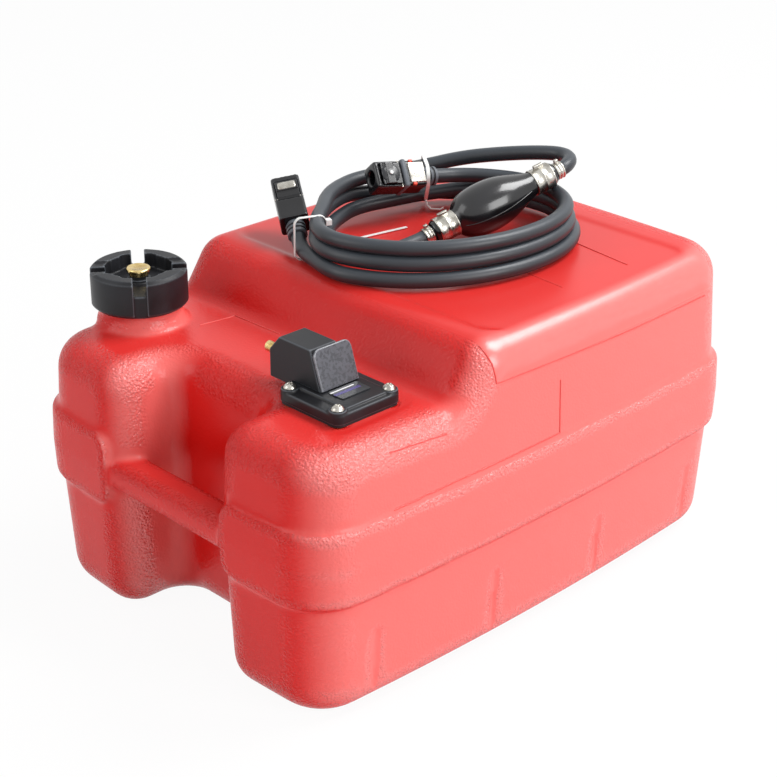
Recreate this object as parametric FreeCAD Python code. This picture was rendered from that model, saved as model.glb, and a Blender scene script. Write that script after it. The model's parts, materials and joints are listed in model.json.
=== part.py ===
import FreeCAD, Part

import math
import os

# Portable fuel tank for an outboard motor, with its filler cap, level gauge and fuel line.
# Millimetres. +Z is up, -Y is the handle end, the gauge stands on the +X side of the handle.
# The origin is the middle of the tank's footprint, at the height of the ground.

Vector = FreeCAD.Vector
UP = Vector(0, 0, 1)
# how far an edge may lie from a plane and still be taken as lying in it
TINY = 0.01

# ---------------------------------------------------------------- tank shell
TANK_LENGTH = 475.0
TANK_WIDTH = 340.0
FRONT_Y = -TANK_LENGTH / 2
BACK_Y = TANK_LENGTH / 2
RIGHT_X = TANK_WIDTH / 2
PLAN_CORNER_R = 41.0
SIDE_BOW = 9.0
END_BOW = 5.7
WALL = 4.5
DRAFT_DEG = 2.35
BELT_LOW_Z = 96.0
BELT_HIGH_Z = 154.0
BELT_PROUD = 3.3
BELT_TAPER = 0.8
BELT_EDGE_R = 2.0
BELT_END_GAP = 15.0
BELT_END_R = 13.0
UPPER_DECK_Z = 248.0
PANEL_DEPTH = 1.2
PANEL_X = TANK_WIDTH - 44.0
PANEL_LOW_Y = FRONT_Y + 191.5
PANEL_HIGH_Y = BACK_Y - 51.5
PANEL_R = 26.0
FRONT_DECK_Z = UPPER_DECK_Z - 40.0
CREST_Y = FRONT_Y + 171.5
CREST_R = 26.0
FOOT_Y = CREST_Y - 26.0
FOOT_R = 16.0
RIM_R = 24.0
SOLE_R = 24.0

# notch for the hand, open to the front, above and below
NOTCH_LEFT_X = -54.0
NOTCH_RIGHT_X = 49.0
NOTCH_BACK_Y = FRONT_Y + 61.5
NOTCH_DRAFT_SHARE = 0.35
NOTCH_INNER_R = 18.0
LOBE_R = 26.0

# handle bar between the two lobes, hollow like the rest of the moulding
HANDLE_LOW_Z = 110.5
HANDLE_HIGH_Z = 134.5
HANDLE_FRONT_Y = FRONT_Y + 4.1
HANDLE_DEPTH = 28.0
HANDLE_ROOT = 34.0
HANDLE_EDGE_R = 8.0

# upright grooves low on both long sides
GROOVE_FIRST_Y = FRONT_Y + 63.5
GROOVE_LAST_Y = BACK_Y - 56.0
GROOVE_COUNT = 4
GROOVE_PITCH = (GROOVE_LAST_Y - GROOVE_FIRST_Y) / (GROOVE_COUNT - 1)
GROOVE_R = 6.0
GROOVE_DEPTH = 2.2
GROOVE_TOP_Z = 62.0

# ---------------------------------------------------------------- filler neck and cap
NECK_X = 44.0 - RIGHT_X
NECK_Y = FRONT_Y + 85.5
NECK_R = 31.0
NECK_BORE_R = 25.0
NECK_HEIGHT = 26.0
NECK_BOSS_R = 34.0
NECK_BOSS_ROOT = 26.0
NECK_BOSS_HEIGHT = 7.0
CAP_R = 37.5
CAP_SKIRT_GAP = 0.4
CAP_SKIRT_DEPTH = 14.5
CAP_PLATE = 3.5
CAP_RIM_HEIGHT = 12.0
CAP_BOWL_R = 25.0
CAP_SCALLOPS = 8
CAP_SCALLOP_R = 6.5
CAP_SCALLOP_DEPTH = 2.2
CAP_NOTCHES = 4
CAP_NOTCH_WIDTH = 10.0
CAP_NOTCH_TURN_DEG = -36.0
CAP_FLUTE_DEPTH = 1.6
CAP_CHAMFER = 2.6
CAP_STEP = 1.6
CAP_STEP_WIDTH = 26.0
CAP_THREAD_PITCH = 5.0
GASKET_THICKNESS = 2.5
GASKET_MARGIN = 0.4

# vent screw in the middle of the cap
VENT_STEM_R = 4.0
VENT_STEM_GAP = 0.05
VENT_BOSS_R = 9.0
VENT_BOSS_DEPTH = 8.0
VENT_BOSS_RISE = 2.5
VENT_SEAL_THICKNESS = 2.0
VENT_SEAL_R = 7.0
VENT_HUB_R = 7.6
VENT_HUB_HEIGHT = 3.0
VENT_HEAD_R = 9.3
VENT_HEAD_HEIGHT = 3.2
VENT_BORE_R = 1.5
VENT_STEM_TAIL = 2.0

# ---------------------------------------------------------------- gauge head
GAUGE_X = RIGHT_X - 80.0
GAUGE_Y = FRONT_Y + 94.0
GAUGE_BASE_X = 63.0
GAUGE_BASE_Y = 62.0
GAUGE_BASE_R = 7.0
GAUGE_BASE_THICKNESS = 8.0
GAUGE_EDGE_R = 1.2
GAUGE_GASKET = 1.5
GAUGE_TABLE_RISE = 1.7
GAUGE_TABLE_FRONT = 4.0
GAUGE_TABLE_SIDE = 11.5
GAUGE_HOLE_X = GAUGE_X - 3.0
GAUGE_HOLE_Y = GAUGE_Y + 2.5
GAUGE_HOLE_R = 24.0
GAUGE_PLUG_GAP = 0.5
GAUGE_PLUG_DEPTH = 6.0
GAUGE_PAD = 5.0
MOAT_MARGIN = 2.0
MOAT_WIDTH = 4.0
MOAT_REACH = MOAT_MARGIN + MOAT_WIDTH
MOAT_DEPTH = 1.2
SCREW_PITCH = 49.0
SCREW_R = 2.4
SCREW_HOLE_GAP = 0.3
SCREW_BOSS_R = 6.4
SCREW_HEAD_R = 4.9
SCREW_HEAD_HEIGHT = 3.6
SCREW_RECESS = 1.5
INSERT_R = 4.0
INSERT_LENGTH = 8.5
INSERT_BORE_GAP = 0.1

# hood over the indicator, with its overhanging nose towards the handle notch
HOOD_NOSE_X = GAUGE_X - 55.5
HOOD_LOW_Z = FRONT_DECK_Z + 7.0
HOOD_TOP_Z = FRONT_DECK_Z + 40.5
HOOD_NOSE_CUT_X = 10.5
HOOD_NOSE_CUT_Z = 12.0
HOOD_NEAR_Y = GAUGE_Y - 15.9
HOOD_FAR_Y = GAUGE_Y + 8.8
HOOD_WALL = 2.0
HOOD_EDGE_R = 1.2
LENS_FOOT_X = GAUGE_X - 2.8
LENS_LEAN_DEG = 18.8
LENS_WIDTH = 35.0
LENS_HEIGHT = 30.0
LENS_THICKNESS = 2.4
LENS_CORNER_R = 6.0
LENS_LEDGE = 4.0
HOOD_WING_BACK_X = GAUGE_X - 21.7
HOOD_WING_TOP_Z = HOOD_TOP_Z - 6.0
SCALE_PLATE_X = 15.0
SCALE_PLATE_Y = 27.0
SCALE_PLATE_R = 1.5
SCALE_PLATE_THICKNESS = 0.8
SCALE_PLATE_GAP = 4.0

# outlet nipple and its elbow
OUTLET_Z = FRONT_DECK_Z + 22.0
OUTLET_R = 4.0
OUTLET_BORE_R = 2.4
OUTLET_REACH = 15.5
OUTLET_TIP_CHAMFER = 0.5
OUTLET_COLLAR_R = 6.0
OUTLET_COLLAR = 2.5
OUTLET_RING = 1.6
OUTLET_RING_R = 5.5
ELBOW_SIDE = 10.0
ELBOW_LENGTH = 13.0

# pick-up tube, guide rod and bottom bracket
TUBE_X = GAUGE_X - 20.0
TUBE_Y = GAUGE_Y - 3.5
TUBE_R = 4.0
TUBE_BORE_R = 3.0
TUBE_FOOT_Z = 14.0
STRAINER_R = 7.0
STRAINER_WALL = 0.8
STRAINER_LOW_Z = 7.0
STRAINER_HEIGHT = 16.0
STRAINER_COLLAR = 2.0
ROD_X = GAUGE_X + 12.0
ROD_Y = GAUGE_Y + 7.5
ROD_R = 2.0
BRACKET_Z = 26.0
BRACKET_THICKNESS = 3.0
BRACKET_MARGIN = 4.0
SLIP = 0.05

# float and twisted strip that turns the indicator drum
STRIP_X = GAUGE_X - 14.0
STRIP_Y = GAUGE_Y + 9.5
STRIP_WIDTH = 8.0
STRIP_THICKNESS = 0.8
STRIP_TWIST_DEG = 270.0
STRIP_SECTIONS = 19
STRIP_END_GAP = 0.3
STRIP_ROOT = 0.1
PIVOT_R = 1.5
PIVOT_GAP = 0.06
PIVOT_DEPTH = 2.5
DRUM_R = 5.2
DRUM_HEIGHT = 12.0
DRUM_LIFT = 0.4
DRUM_CROWN = 2.0
DRUM_EDGE_R = 0.8
FLOAT_X = GAUGE_X - 1.0
FLOAT_Y = ROD_Y
FLOAT_SIZE_X = 36.0
FLOAT_SIZE_Y = 26.0
FLOAT_HEIGHT = 32.0
FLOAT_CORNER_R = 8.0
FLOAT_EDGE_R = 2.0
FLOAT_GUIDE_GAP = 0.6
FLOAT_END_GAP = 0.5
SLOT_PLATE_X = 5.0
SLOT_PLATE_Y = 11.5
SLOT_PLATE_THICKNESS = 2.5
SLOT_GAP_WIDE = 0.45
SLOT_GAP_THICK = 0.4
STRIP_WELL_GAP = 0.8

# ---------------------------------------------------------------- fuel line
HOSE_R = 6.0
COIL_X = -16.0
COIL_Y = 59.0
COIL_LEAN = 0.05
COIL_LEAN_DEG = 45.0
COIL_POINTS = 24
COIL_LIFT = 0.3
LOWER_COIL_HEIGHT = 22.5
UPPER_COIL_HEIGHT = 11.5
COIL_EDGE_R = 4.5
# angle from +X in degrees, half width along X, half width along Y, width of the bundle
LOWER_COIL_KEYS = [
    (0, 98, 117, 19), (45, 98, 112, 19), (90, 94, 109, 19), (140, 88, 100, 19),
    (180, 82, 94, 14), (210, 77, 90, 13), (228, 76, 91, 13), (240, 80, 97, 13),
    (255, 92, 110, 16), (270, 97, 116.5, 19), (315, 99, 118, 19), (360, 98, 117, 19),
]
UPPER_COIL_KEYS = [
    (0, 94, 112, 13), (45, 96, 108, 13), (90, 86, 99, 13), (130, 88, 102, 13),
    (180, 90, 96, 13), (210, 82, 92, 13), (228, 76, 92, 13), (240, 82, 99, 13),
    (255, 90, 108, 13), (270, 93, 112, 13), (315, 95, 113, 13), (360, 94, 112, 13),
]

# primer bulb, from the end of its inlet neck to the end of its outlet neck
BULB_INLET = Vector(-3.0, 53.4, UPPER_DECK_Z + 13.6)
BULB_OUTLET = Vector(25.8, 143.3, UPPER_DECK_Z + 43.0)
BULB_NECK_R = 9.6
BULB_WALL = 2.6
BULB_MAX_R = 21.0
BULB_NECK = 13.0
# share of the way between the necks, share of the swell
BULB_SWELL = [
    (0.0, 0.0), (0.04, 0.34), (0.10, 0.66), (0.20, 0.90), (0.32, 0.99), (0.42, 1.0),
    (0.54, 0.94), (0.66, 0.77), (0.78, 0.50), (0.90, 0.20), (1.0, 0.0),
]
CLAMP_LENGTH = 11.0
CLAMP_THICKNESS = 0.9
CLAMP_MARGIN = 1.0
CLAMP_EAR = 4.0
FITTING_BORE_R = 3.0
FITTING_HOSE_BARB = 12.0
FITTING_PLUG = 9.0
FITTING_COLLAR = 1.5
HOSE_BORE_R = 4.0
BALL_R = 3.6
BALL_GAP = 0.5
BALL_TRAVEL = 2.0
BALL_STOP_R = 0.6

# routes of the stretches that are not coiled: x, y and height above the upper deck
TANK_END_ROUTE = [
    (-71.5, -37.0, 12.5), (-64.0, -41.6, 8.5), (-52.0, -47.5, 7.5), (-37.0, -51.5, 7.4),
]
INLET_ROUTE = [
    (-97.0, 50.0, 9.0), (-92.0, 26.0, 7.2), (-81.0, 3.0, 6.9), (-63.0, -14.0, 7.0),
    (-45.0, -22.5, 7.0), (-28.0, -21.0, 6.8), (-15.0, -12.0, 6.4), (-8.5, 2.3, 6.4),
]
OUTLET_ROUTE = [
    (25.3, 175.1, 50.6), (10.9, 180.9, 50.8), (-11.0, 172.9, 48.5), (-37.6, 160.0, 44.0),
    (-66.0, 142.6, 38.0), (-88.0, 116.0, 30.5),
]
ENGINE_END_ROUTE = [
    (-61.0, 104.3, 31.8), (-56.8, 118.6, 30.1), (-47.0, 132.5, 29.6), (-33.0, 145.0, 29.0),
    (-15.0, 155.5, 28.5),
]
# straight lengths of hose before and after the bulb
HOSE_BEFORE_BULB = 24.0
HOSE_AFTER_BULB = 20.0

# ---------------------------------------------------------------- connectors
CONNECTOR_WIDTH = 23.0
CONNECTOR_DEPTH = 20.0
CONNECTOR_LENGTH = 46.0
CONNECTOR_EDGE_R = 2.5
SOCKET_R = 5.5
SOCKET_DEPTH = 17.8
SOCKET_SEAT_R = 5.0
SOCKET_SEAL_R = 4.2
SOCKET_SEAL_THICKNESS = 2.2
FERRULE_R = 8.0
FERRULE_LENGTH = 13.0
FERRULE_LEAD = 1.5
FERRULE_LEAD_DROP = 0.8
FERRULE_TAPER = 3.0
FERRULE_TAPER_DROP = 1.2
LATCH_FOOT = 23.0
LATCH_LENGTH = 18.0
LATCH_WIDTH = 18.0
LATCH_THICKNESS = 1.2
LATCH_RISE = 0.3
LATCH_POCKET = 3.5
LATCH_PIVOT_DEPTH = 2.4
LATCH_EYE = 0.9
LATCH_GAP = 0.5
LATCH_BUTTON = 9.0
LATCH_BUTTON_RISE = 1.6
LATCH_PIN_R = 1.0
LATCH_PIN_GAP = 0.06
TANK_LATCH_SIDE = Vector(0.5, -0.5, 0.7)
ENGINE_LATCH_SIDE = Vector(0.6, -0.4, 0.6)

# ---------------------------------------------------------------- cable ties
TIE_WIDTH = 3.0
TIE_THICKNESS = 1.0
TIE_HEAD = 5.0
TIE_GAP = 0.3
TIE_LOOP_R = 6.0
TIE_FRONT_DEG = 247.0
TIE_FRONT_INNER = 9.5
TIE_FRONT_OUTER = 15.0
TIE_FRONT_LOW_Z = UPPER_DECK_Z + 1.4
TIE_FRONT_HIGH_Z = UPPER_DECK_Z + 34.6
TIE_REAR_DEG = 140.0
TIE_REAR_INNER = 11.5
TIE_REAR_OUTER = 11.0
TIE_REAR_LOW_Z = UPPER_DECK_Z + 23.3
TIE_REAR_HIGH_Z = UPPER_DECK_Z + 39.6
# what is left over of each tie, from the foot of its loop: x, y and height above the upper deck
TIE_FRONT_TAIL = [
    (-47.4, -30.4, 0.6), (-50.5, -23.5, 0.0), (-58.0, -10.0, -0.4), (-62.9, 6.3, -0.4), (-52.1, 64.3, -0.4),
]
TIE_REAR_TAIL = [(-71.3, 112.7, 4.0), (-67.5, 113.0, 0.4), (-61.5, 121.0, -0.3)]


# ---------------------------------------------------------------- small helpers
def cylinder(foot, axis, radius, height):
    return Part.makeCylinder(radius, height, foot, axis)


def ring(foot, axis, outer_r, inner_r, height):
    return cylinder(foot, axis, outer_r, height).cut(cylinder(foot, axis, inner_r, height))


def on_deck(route):
    """Points of a route whose heights are measured from the upper deck."""
    return [Vector(x, y, UPPER_DECK_Z + height) for x, y, height in route]


def block(low, high):
    size = high.sub(low)
    return Part.makeBox(size.x, size.y, size.z, low)


def upright(x, y, low_z, high_z, radius):
    return cylinder(Vector(x, y, low_z), UP, radius, high_z - low_z)


def turned(profile, foot, axis):
    """Solid of revolution from (distance along the axis, radius) pairs."""
    start, end = profile[0][0], profile[-1][0]
    points = [Vector(start, 0, 0)] + [Vector(s, r, 0) for s, r in profile] + [Vector(end, 0, 0)]
    face = Part.Face(Part.makePolygon(points + points[:1]))
    solid = face.revolve(Vector(0, 0, 0), Vector(1, 0, 0), 360)
    turn = FreeCAD.Rotation(Vector(1, 0, 0), axis)
    solid.Placement = FreeCAD.Placement(foot, turn)
    return solid


def extruded(points, direction):
    face = Part.Face(Part.makePolygon(points + points[:1]))
    return face.extrude(direction)


def edge_middle(edge):
    return edge.valueAt((edge.FirstParameter + edge.LastParameter) / 2)


def rounded_plate(centre_x, centre_y, size_x, size_y, corner_r, low_z, high_z):
    low = Vector(centre_x - size_x / 2, centre_y - size_y / 2, low_z)
    high = Vector(centre_x + size_x / 2, centre_y + size_y / 2, high_z)
    plate = block(low, high)
    corners = [e for e in plate.Edges if abs(e.tangentAt(e.FirstParameter).z) > 0.99]
    return plate.makeFillet(corner_r, corners)


def four_around(centre_x, centre_y, pitch):
    half = pitch / 2
    return [(centre_x + i * half, centre_y + j * half) for i in (-1, 1) for j in (-1, 1)]


def save(name, *solids):
    shape = solids[0] if len(solids) == 1 else Part.makeCompound(list(solids))
    shape.exportStep("parts/" + name + ".step")
    print(name, "solids", len(shape.Solids), "cm3", round(shape.Volume / 1000, 2), "valid", shape.isValid())


# ---------------------------------------------------------------- tank plan outline
def bow_radius(bow, half_chord):
    return (half_chord ** 2 + bow ** 2) / (2 * bow)


def towards(centre, radius, point):
    """Point of a circle in the direction of another point."""
    reach = math.hypot(point[0] - centre[0], point[1] - centre[1])
    return (
        centre[0] + (point[0] - centre[0]) * radius / reach,
        centre[1] + (point[1] - centre[1]) * radius / reach,
    )


def between(centre, radius, first, last):
    """Middle of the arc of a circle from one of its points to another."""
    return towards(centre, radius, ((first[0] + last[0]) / 2, (first[1] + last[1]) / 2))


class PlanOutline:
    """Closed outline of the tank at one height: bowed sides and ends, round corners, and the notch."""

    def __init__(self, inset, wall, z):
        self.z = z
        self.half_x = TANK_WIDTH / 2 - inset - wall
        self.half_y = TANK_LENGTH / 2 - inset - wall
        self.side_r = bow_radius(SIDE_BOW, self.half_y)
        self.end_r = bow_radius(END_BOW, self.half_x)
        self.side_c = (self.half_x - self.side_r, 0.0)
        self.end_c = (0.0, self.half_y - self.end_r)
        self.corner_r = PLAN_CORNER_R - wall
        self.corner_c = self.corner_centre()
        self.on_side = towards(self.side_c, self.side_r, self.corner_c)
        self.on_end = towards(self.end_c, self.end_r, self.corner_c)
        self.corner_m = between(self.corner_c, self.corner_r, self.on_side, self.on_end)
        push = NOTCH_DRAFT_SHARE * inset + wall
        self.left, self.right = NOTCH_LEFT_X - push, NOTCH_RIGHT_X + push
        self.back = NOTCH_BACK_Y + push
        self.lobe_r, self.inner_r = LOBE_R - wall, NOTCH_INNER_R + wall

    def corner_centre(self):
        """Centre of the corner circle that touches the side's and the end's circle from inside."""
        reach_side, reach_end = self.side_r - self.corner_r, self.end_r - self.corner_r
        span = math.hypot(self.side_c[0], self.end_c[1])
        along = (reach_side ** 2 - reach_end ** 2 + span ** 2) / (2 * span)
        off = math.sqrt(reach_side ** 2 - along ** 2)
        ux, uy = -self.side_c[0] / span, self.end_c[1] / span
        x, y = self.side_c[0] + along * ux, along * uy
        return max(((x + s * off * uy, y - s * off * ux) for s in (-1, 1)), key=sum)

    def arc(self, first, middle, last):
        return Part.Arc(*[Vector(p[0], p[1], self.z) for p in (first, middle, last)]).toShape()

    def line(self, first, last):
        return Part.LineSegment(*[Vector(p[0], p[1], self.z) for p in (first, last)]).toShape()

    def front_point(self, x):
        return (x, -(self.end_c[1] + math.sqrt(self.end_r ** 2 - x ** 2)))

    def corner(self, sx, sy, side_first):
        points = [(sx * p[0], sy * p[1]) for p in (self.on_side, self.corner_m, self.on_end)]
        return self.arc(*(points if side_first else points[::-1]))

    def lobe(self, wall_x, sign):
        """Touch point on the front, middle, and touch point on the notch wall of a lobe's corner."""
        centre_x = wall_x + sign * self.lobe_r
        centre_y = -(self.end_c[1] + math.sqrt((self.end_r - self.lobe_r) ** 2 - centre_x ** 2))
        centre = (centre_x, centre_y)
        front = towards((0, -self.end_c[1]), self.end_r, centre)
        side = (wall_x, centre_y)
        return front, between(centre, self.lobe_r, front, side), side

    def front_edges(self, with_notch):
        start, end = (-self.on_end[0], -self.on_end[1]), (self.on_end[0], -self.on_end[1])
        if not with_notch:
            return [self.arc(start, self.front_point(0), end)]
        left, right = self.lobe(self.left, -1), self.lobe(self.right, 1)
        bend = self.inner_r * (1 - math.sqrt(0.5))
        ledge = self.back - self.inner_r
        left_in, right_in = self.left + self.inner_r, self.right - self.inner_r
        return [
            self.arc(start, self.front_point((start[0] + left[0][0]) / 2), left[0]),
            self.arc(*left),
            self.line(left[2], (self.left, ledge)),
            self.arc((self.left, ledge), (self.left + bend, self.back - bend), (left_in, self.back)),
            self.line((left_in, self.back), (right_in, self.back)),
            self.arc((right_in, self.back), (self.right - bend, self.back - bend), (self.right, ledge)),
            self.line((self.right, ledge), right[2]),
            self.arc(*right[::-1]),
            self.arc(right[0], self.front_point((right[0][0] + end[0]) / 2), end),
        ]

    def wire(self, with_notch):
        sx, sy = self.on_side
        ex, ey = self.on_end
        edges = [
            self.arc((sx, -sy), (self.half_x, 0), (sx, sy)),
            self.corner(1, 1, True),
            self.arc((ex, ey), (0, self.half_y), (-ex, ey)),
            self.corner(-1, 1, False),
            self.arc((-sx, sy), (-self.half_x, 0), (-sx, -sy)),
            self.corner(-1, -1, True),
        ]
        edges += self.front_edges(with_notch)
        edges.append(self.corner(1, -1, False))
        return Part.Wire(edges)


def plan_wire(inset, wall, z, with_notch=True):
    return PlanOutline(inset, wall, z).wire(with_notch)


# ---------------------------------------------------------------- tank body
PARTING_Z = (BELT_LOW_Z + BELT_HIGH_Z) / 2


def draft_inset(z):
    return BELT_PROUD + math.tan(math.radians(DRAFT_DEG)) * abs(z - PARTING_Z)


def side_x(z):
    """Half width of the tank's side at a height, at mid-length."""
    return TANK_WIDTH / 2 - draft_inset(z)


def tank_blank(wall):
    """Tank with drafted walls and sharp rims, before its decks are stepped."""
    levels = [(wall, PARTING_Z), (PARTING_Z, UPPER_DECK_Z - wall)]
    halves = []
    for low, high in levels:
        wires = [plan_wire(draft_inset(z), wall, z) for z in (low, high)]
        halves.append(Part.makeLoft(wires, True, True))
    return halves[0].fuse(halves[1])


def deck_step(wall):
    """Space above the front deck and in front of the slope up to the upper deck."""
    reach, over = TANK_LENGTH, 2 * RIM_R
    slope = math.atan2(UPPER_DECK_Z - FRONT_DECK_Z, CREST_Y - FOOT_Y)
    shift = wall * math.tan(slope / 2)
    low, high = FRONT_DECK_Z - wall, UPPER_DECK_Z - wall
    outline = [
        Vector(-reach, -reach, low),
        Vector(-reach, FOOT_Y + shift, low),
        Vector(-reach, CREST_Y + shift, high),
        Vector(-reach, CREST_Y + shift, high + over),
        Vector(-reach, -reach, high + over),
    ]
    return extruded(outline, Vector(2 * reach, 0, 0)), FOOT_Y + shift, CREST_Y + shift


def crease_edges(body, y):
    return [
        e for e in body.Edges
        if e.BoundBox.XLength > TANK_WIDTH / 2
        and e.BoundBox.YLength < TINY
        and abs(e.BoundBox.YMin - y) < TINY
    ]


def tank_form(wall):
    """The tank's outer form, or its inner one where wall is the wall's thickness."""
    step, foot_y, crest_y = deck_step(wall)
    body = tank_blank(wall).cut(step)
    body = body.makeFillet(CREST_R - wall, crease_edges(body, crest_y))
    body = body.makeFillet(FOOT_R + wall, crease_edges(body, foot_y))
    top = [e for e in body.Edges if edge_middle(e).z > FRONT_DECK_Z - wall - 0.5]
    rim = [e for e in top if not (e.BoundBox.XLength > TANK_WIDTH / 2 and e.BoundBox.YLength < TINY)]
    body = body.makeFillet(RIM_R - wall, rim)
    sole = [e for e in body.Edges if e.BoundBox.ZMax < wall + TINY]
    return body.makeFillet(SOLE_R - wall, sole)


def handle_bar(wall):
    low = Vector(NOTCH_LEFT_X - HANDLE_ROOT, HANDLE_FRONT_Y + wall, HANDLE_LOW_Z + wall)
    high = Vector(NOTCH_RIGHT_X + HANDLE_ROOT, HANDLE_FRONT_Y + HANDLE_DEPTH - wall, HANDLE_HIGH_Z - wall)
    bar = block(low, high)
    long_edges = [e for e in bar.Edges if e.BoundBox.XLength > HANDLE_DEPTH]
    return bar.makeFillet(HANDLE_EDGE_R - wall, long_edges)


def belt():
    """Raised belt round the tank. It ends in a round corner short of the notch."""
    wires = [
        plan_wire(inset, 0, z, with_notch=False)
        for inset, z in ((BELT_TAPER, BELT_LOW_Z), (0.0, PARTING_Z), (BELT_TAPER, BELT_HIGH_Z))
    ]
    lower = Part.makeLoft(wires[:2], True, True)
    upper = Part.makeLoft(wires[1:], True, True)
    disc = lower.fuse(upper)
    half = BELT_HIGH_Z - PARTING_Z
    rims = [e for e in disc.Edges if abs(abs(edge_middle(e).z - PARTING_Z) - half) < TINY]
    disc = disc.makeFillet(BELT_EDGE_R, rims)
    height = BELT_HIGH_Z - BELT_LOW_Z
    low = Vector(-TANK_WIDTH, NOTCH_BACK_Y + BELT_END_GAP, BELT_LOW_Z)
    kept = [block(low, Vector(TANK_WIDTH, TANK_LENGTH, BELT_HIGH_Z))]
    for sign, wall_x in ((-1, NOTCH_LEFT_X), (1, NOTCH_RIGHT_X)):
        inner = wall_x + sign * BELT_END_GAP
        outer = sign * TANK_WIDTH
        low_x, high_x = min(inner, outer), max(inner, outer)
        end = Part.makeBox(high_x - low_x, TANK_LENGTH, height, Vector(low_x, -TANK_LENGTH, BELT_LOW_Z))
        long_edges = [e for e in end.Edges if e.BoundBox.YLength > TANK_WIDTH]
        corners = [e for e in long_edges if abs(edge_middle(e).x - inner) < TINY]
        kept.append(end.makeFillet(BELT_END_R, corners))
    return disc.common(kept[0].multiFuse(kept[1:]))


def side_grooves():
    """Round-ended grooves that run down both long sides to the sole."""
    cutters = []
    for i in range(GROOVE_COUNT):
        y = GROOVE_FIRST_Y + i * GROOVE_PITCH
        bow = SIDE_BOW * (y / (TANK_LENGTH / 2)) ** 2
        foot_x, top_x = side_x(0) - bow, side_x(GROOVE_TOP_Z) - bow
        shift = GROOVE_R - GROOVE_DEPTH
        for sign in (-1, 1):
            foot = Vector(sign * (foot_x + shift), y, 0)
            top = Vector(sign * (top_x + shift), y, GROOVE_TOP_Z)
            run = top.sub(foot)
            cutters.append(cylinder(foot, run, GROOVE_R, run.Length))
            cutters.append(Part.makeSphere(GROOVE_R, top))
    return cutters


def deck_panel():
    """Shallow recess for the panel on the upper deck."""
    centre_y = (PANEL_LOW_Y + PANEL_HIGH_Y) / 2
    return rounded_plate(
        0, centre_y, PANEL_X, PANEL_HIGH_Y - PANEL_LOW_Y, PANEL_R,
        UPPER_DECK_Z - PANEL_DEPTH, UPPER_DECK_Z + PANEL_DEPTH,
    )


def gauge_moat():
    outer = rounded_plate(
        GAUGE_X, GAUGE_Y, GAUGE_BASE_X + 2 * MOAT_REACH, GAUGE_BASE_Y + 2 * MOAT_REACH,
        GAUGE_BASE_R + MOAT_REACH, FRONT_DECK_Z - MOAT_DEPTH, FRONT_DECK_Z + MOAT_DEPTH,
    )
    inner = rounded_plate(
        GAUGE_X, GAUGE_Y, GAUGE_BASE_X + 2 * MOAT_MARGIN, GAUGE_BASE_Y + 2 * MOAT_MARGIN,
        GAUGE_BASE_R + MOAT_MARGIN, FRONT_DECK_Z - MOAT_DEPTH, FRONT_DECK_Z + MOAT_DEPTH,
    )
    return outer.cut(inner)


def make_tank_body():
    neck_top = FRONT_DECK_Z + NECK_HEIGHT
    boss_top = FRONT_DECK_Z + NECK_BOSS_HEIGHT
    boss = upright(NECK_X, NECK_Y, FRONT_DECK_Z - NECK_BOSS_ROOT, boss_top, NECK_BOSS_R)
    tops = [e for e in boss.Edges if e.BoundBox.ZMin > boss_top - TINY]
    boss = boss.makeFillet(NECK_BOSS_R - NECK_R, tops)
    neck = upright(NECK_X, NECK_Y, FRONT_DECK_Z - NECK_BOSS_ROOT, neck_top, NECK_R)
    outer = tank_form(0).multiFuse([handle_bar(0), belt(), boss, neck])
    inner = tank_form(WALL).fuse(handle_bar(WALL))
    print("inner volume litres", round(inner.Volume / 1e6, 2))
    pad = rounded_plate(
        GAUGE_X, GAUGE_Y, GAUGE_BASE_X, GAUGE_BASE_Y, GAUGE_BASE_R,
        FRONT_DECK_Z - WALL - GAUGE_PAD, FRONT_DECK_Z - WALL,
    )
    body = outer.cut(inner.cut(pad))
    holes = [
        upright(NECK_X, NECK_Y, FRONT_DECK_Z - NECK_BOSS_ROOT - 1, neck_top + 1, NECK_BORE_R),
        upright(
            GAUGE_HOLE_X, GAUGE_HOLE_Y, FRONT_DECK_Z - 2 * WALL - GAUGE_PAD, FRONT_DECK_Z + 1, GAUGE_HOLE_R
        ),
        gauge_moat(),
        deck_panel(),
    ]
    for x, y in four_around(GAUGE_X, GAUGE_Y, SCREW_PITCH):
        holes.append(upright(x, y, FRONT_DECK_Z - INSERT_LENGTH, FRONT_DECK_Z + 1, INSERT_R))
    body = body.cut(Part.makeCompound(holes + side_grooves()))
    save("tank_body", body)


# ---------------------------------------------------------------- filler cap
NECK_TOP_Z = FRONT_DECK_Z + NECK_HEIGHT
CAP_PLATE_LOW_Z = NECK_TOP_Z + GASKET_THICKNESS
CAP_FLOOR_Z = CAP_PLATE_LOW_Z + CAP_PLATE
CAP_TOP_Z = CAP_FLOOR_Z + CAP_RIM_HEIGHT
CAP_LOW_Z = CAP_PLATE_LOW_Z - CAP_SKIRT_DEPTH


def about_neck(radius, angle_deg):
    a = math.radians(angle_deg)
    return NECK_X + radius * math.cos(a), NECK_Y + radius * math.sin(a)


def radial_bar(angle_deg, near_r, far_r, width, low_z, high_z):
    """Bar that points away from the neck's axis."""
    bar = Part.makeBox(far_r - near_r, width, high_z - low_z, Vector(near_r, -width / 2, low_z))
    bar.rotate(Vector(0, 0, 0), UP, angle_deg)
    bar.translate(Vector(NECK_X, NECK_Y, 0))
    return bar


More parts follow.
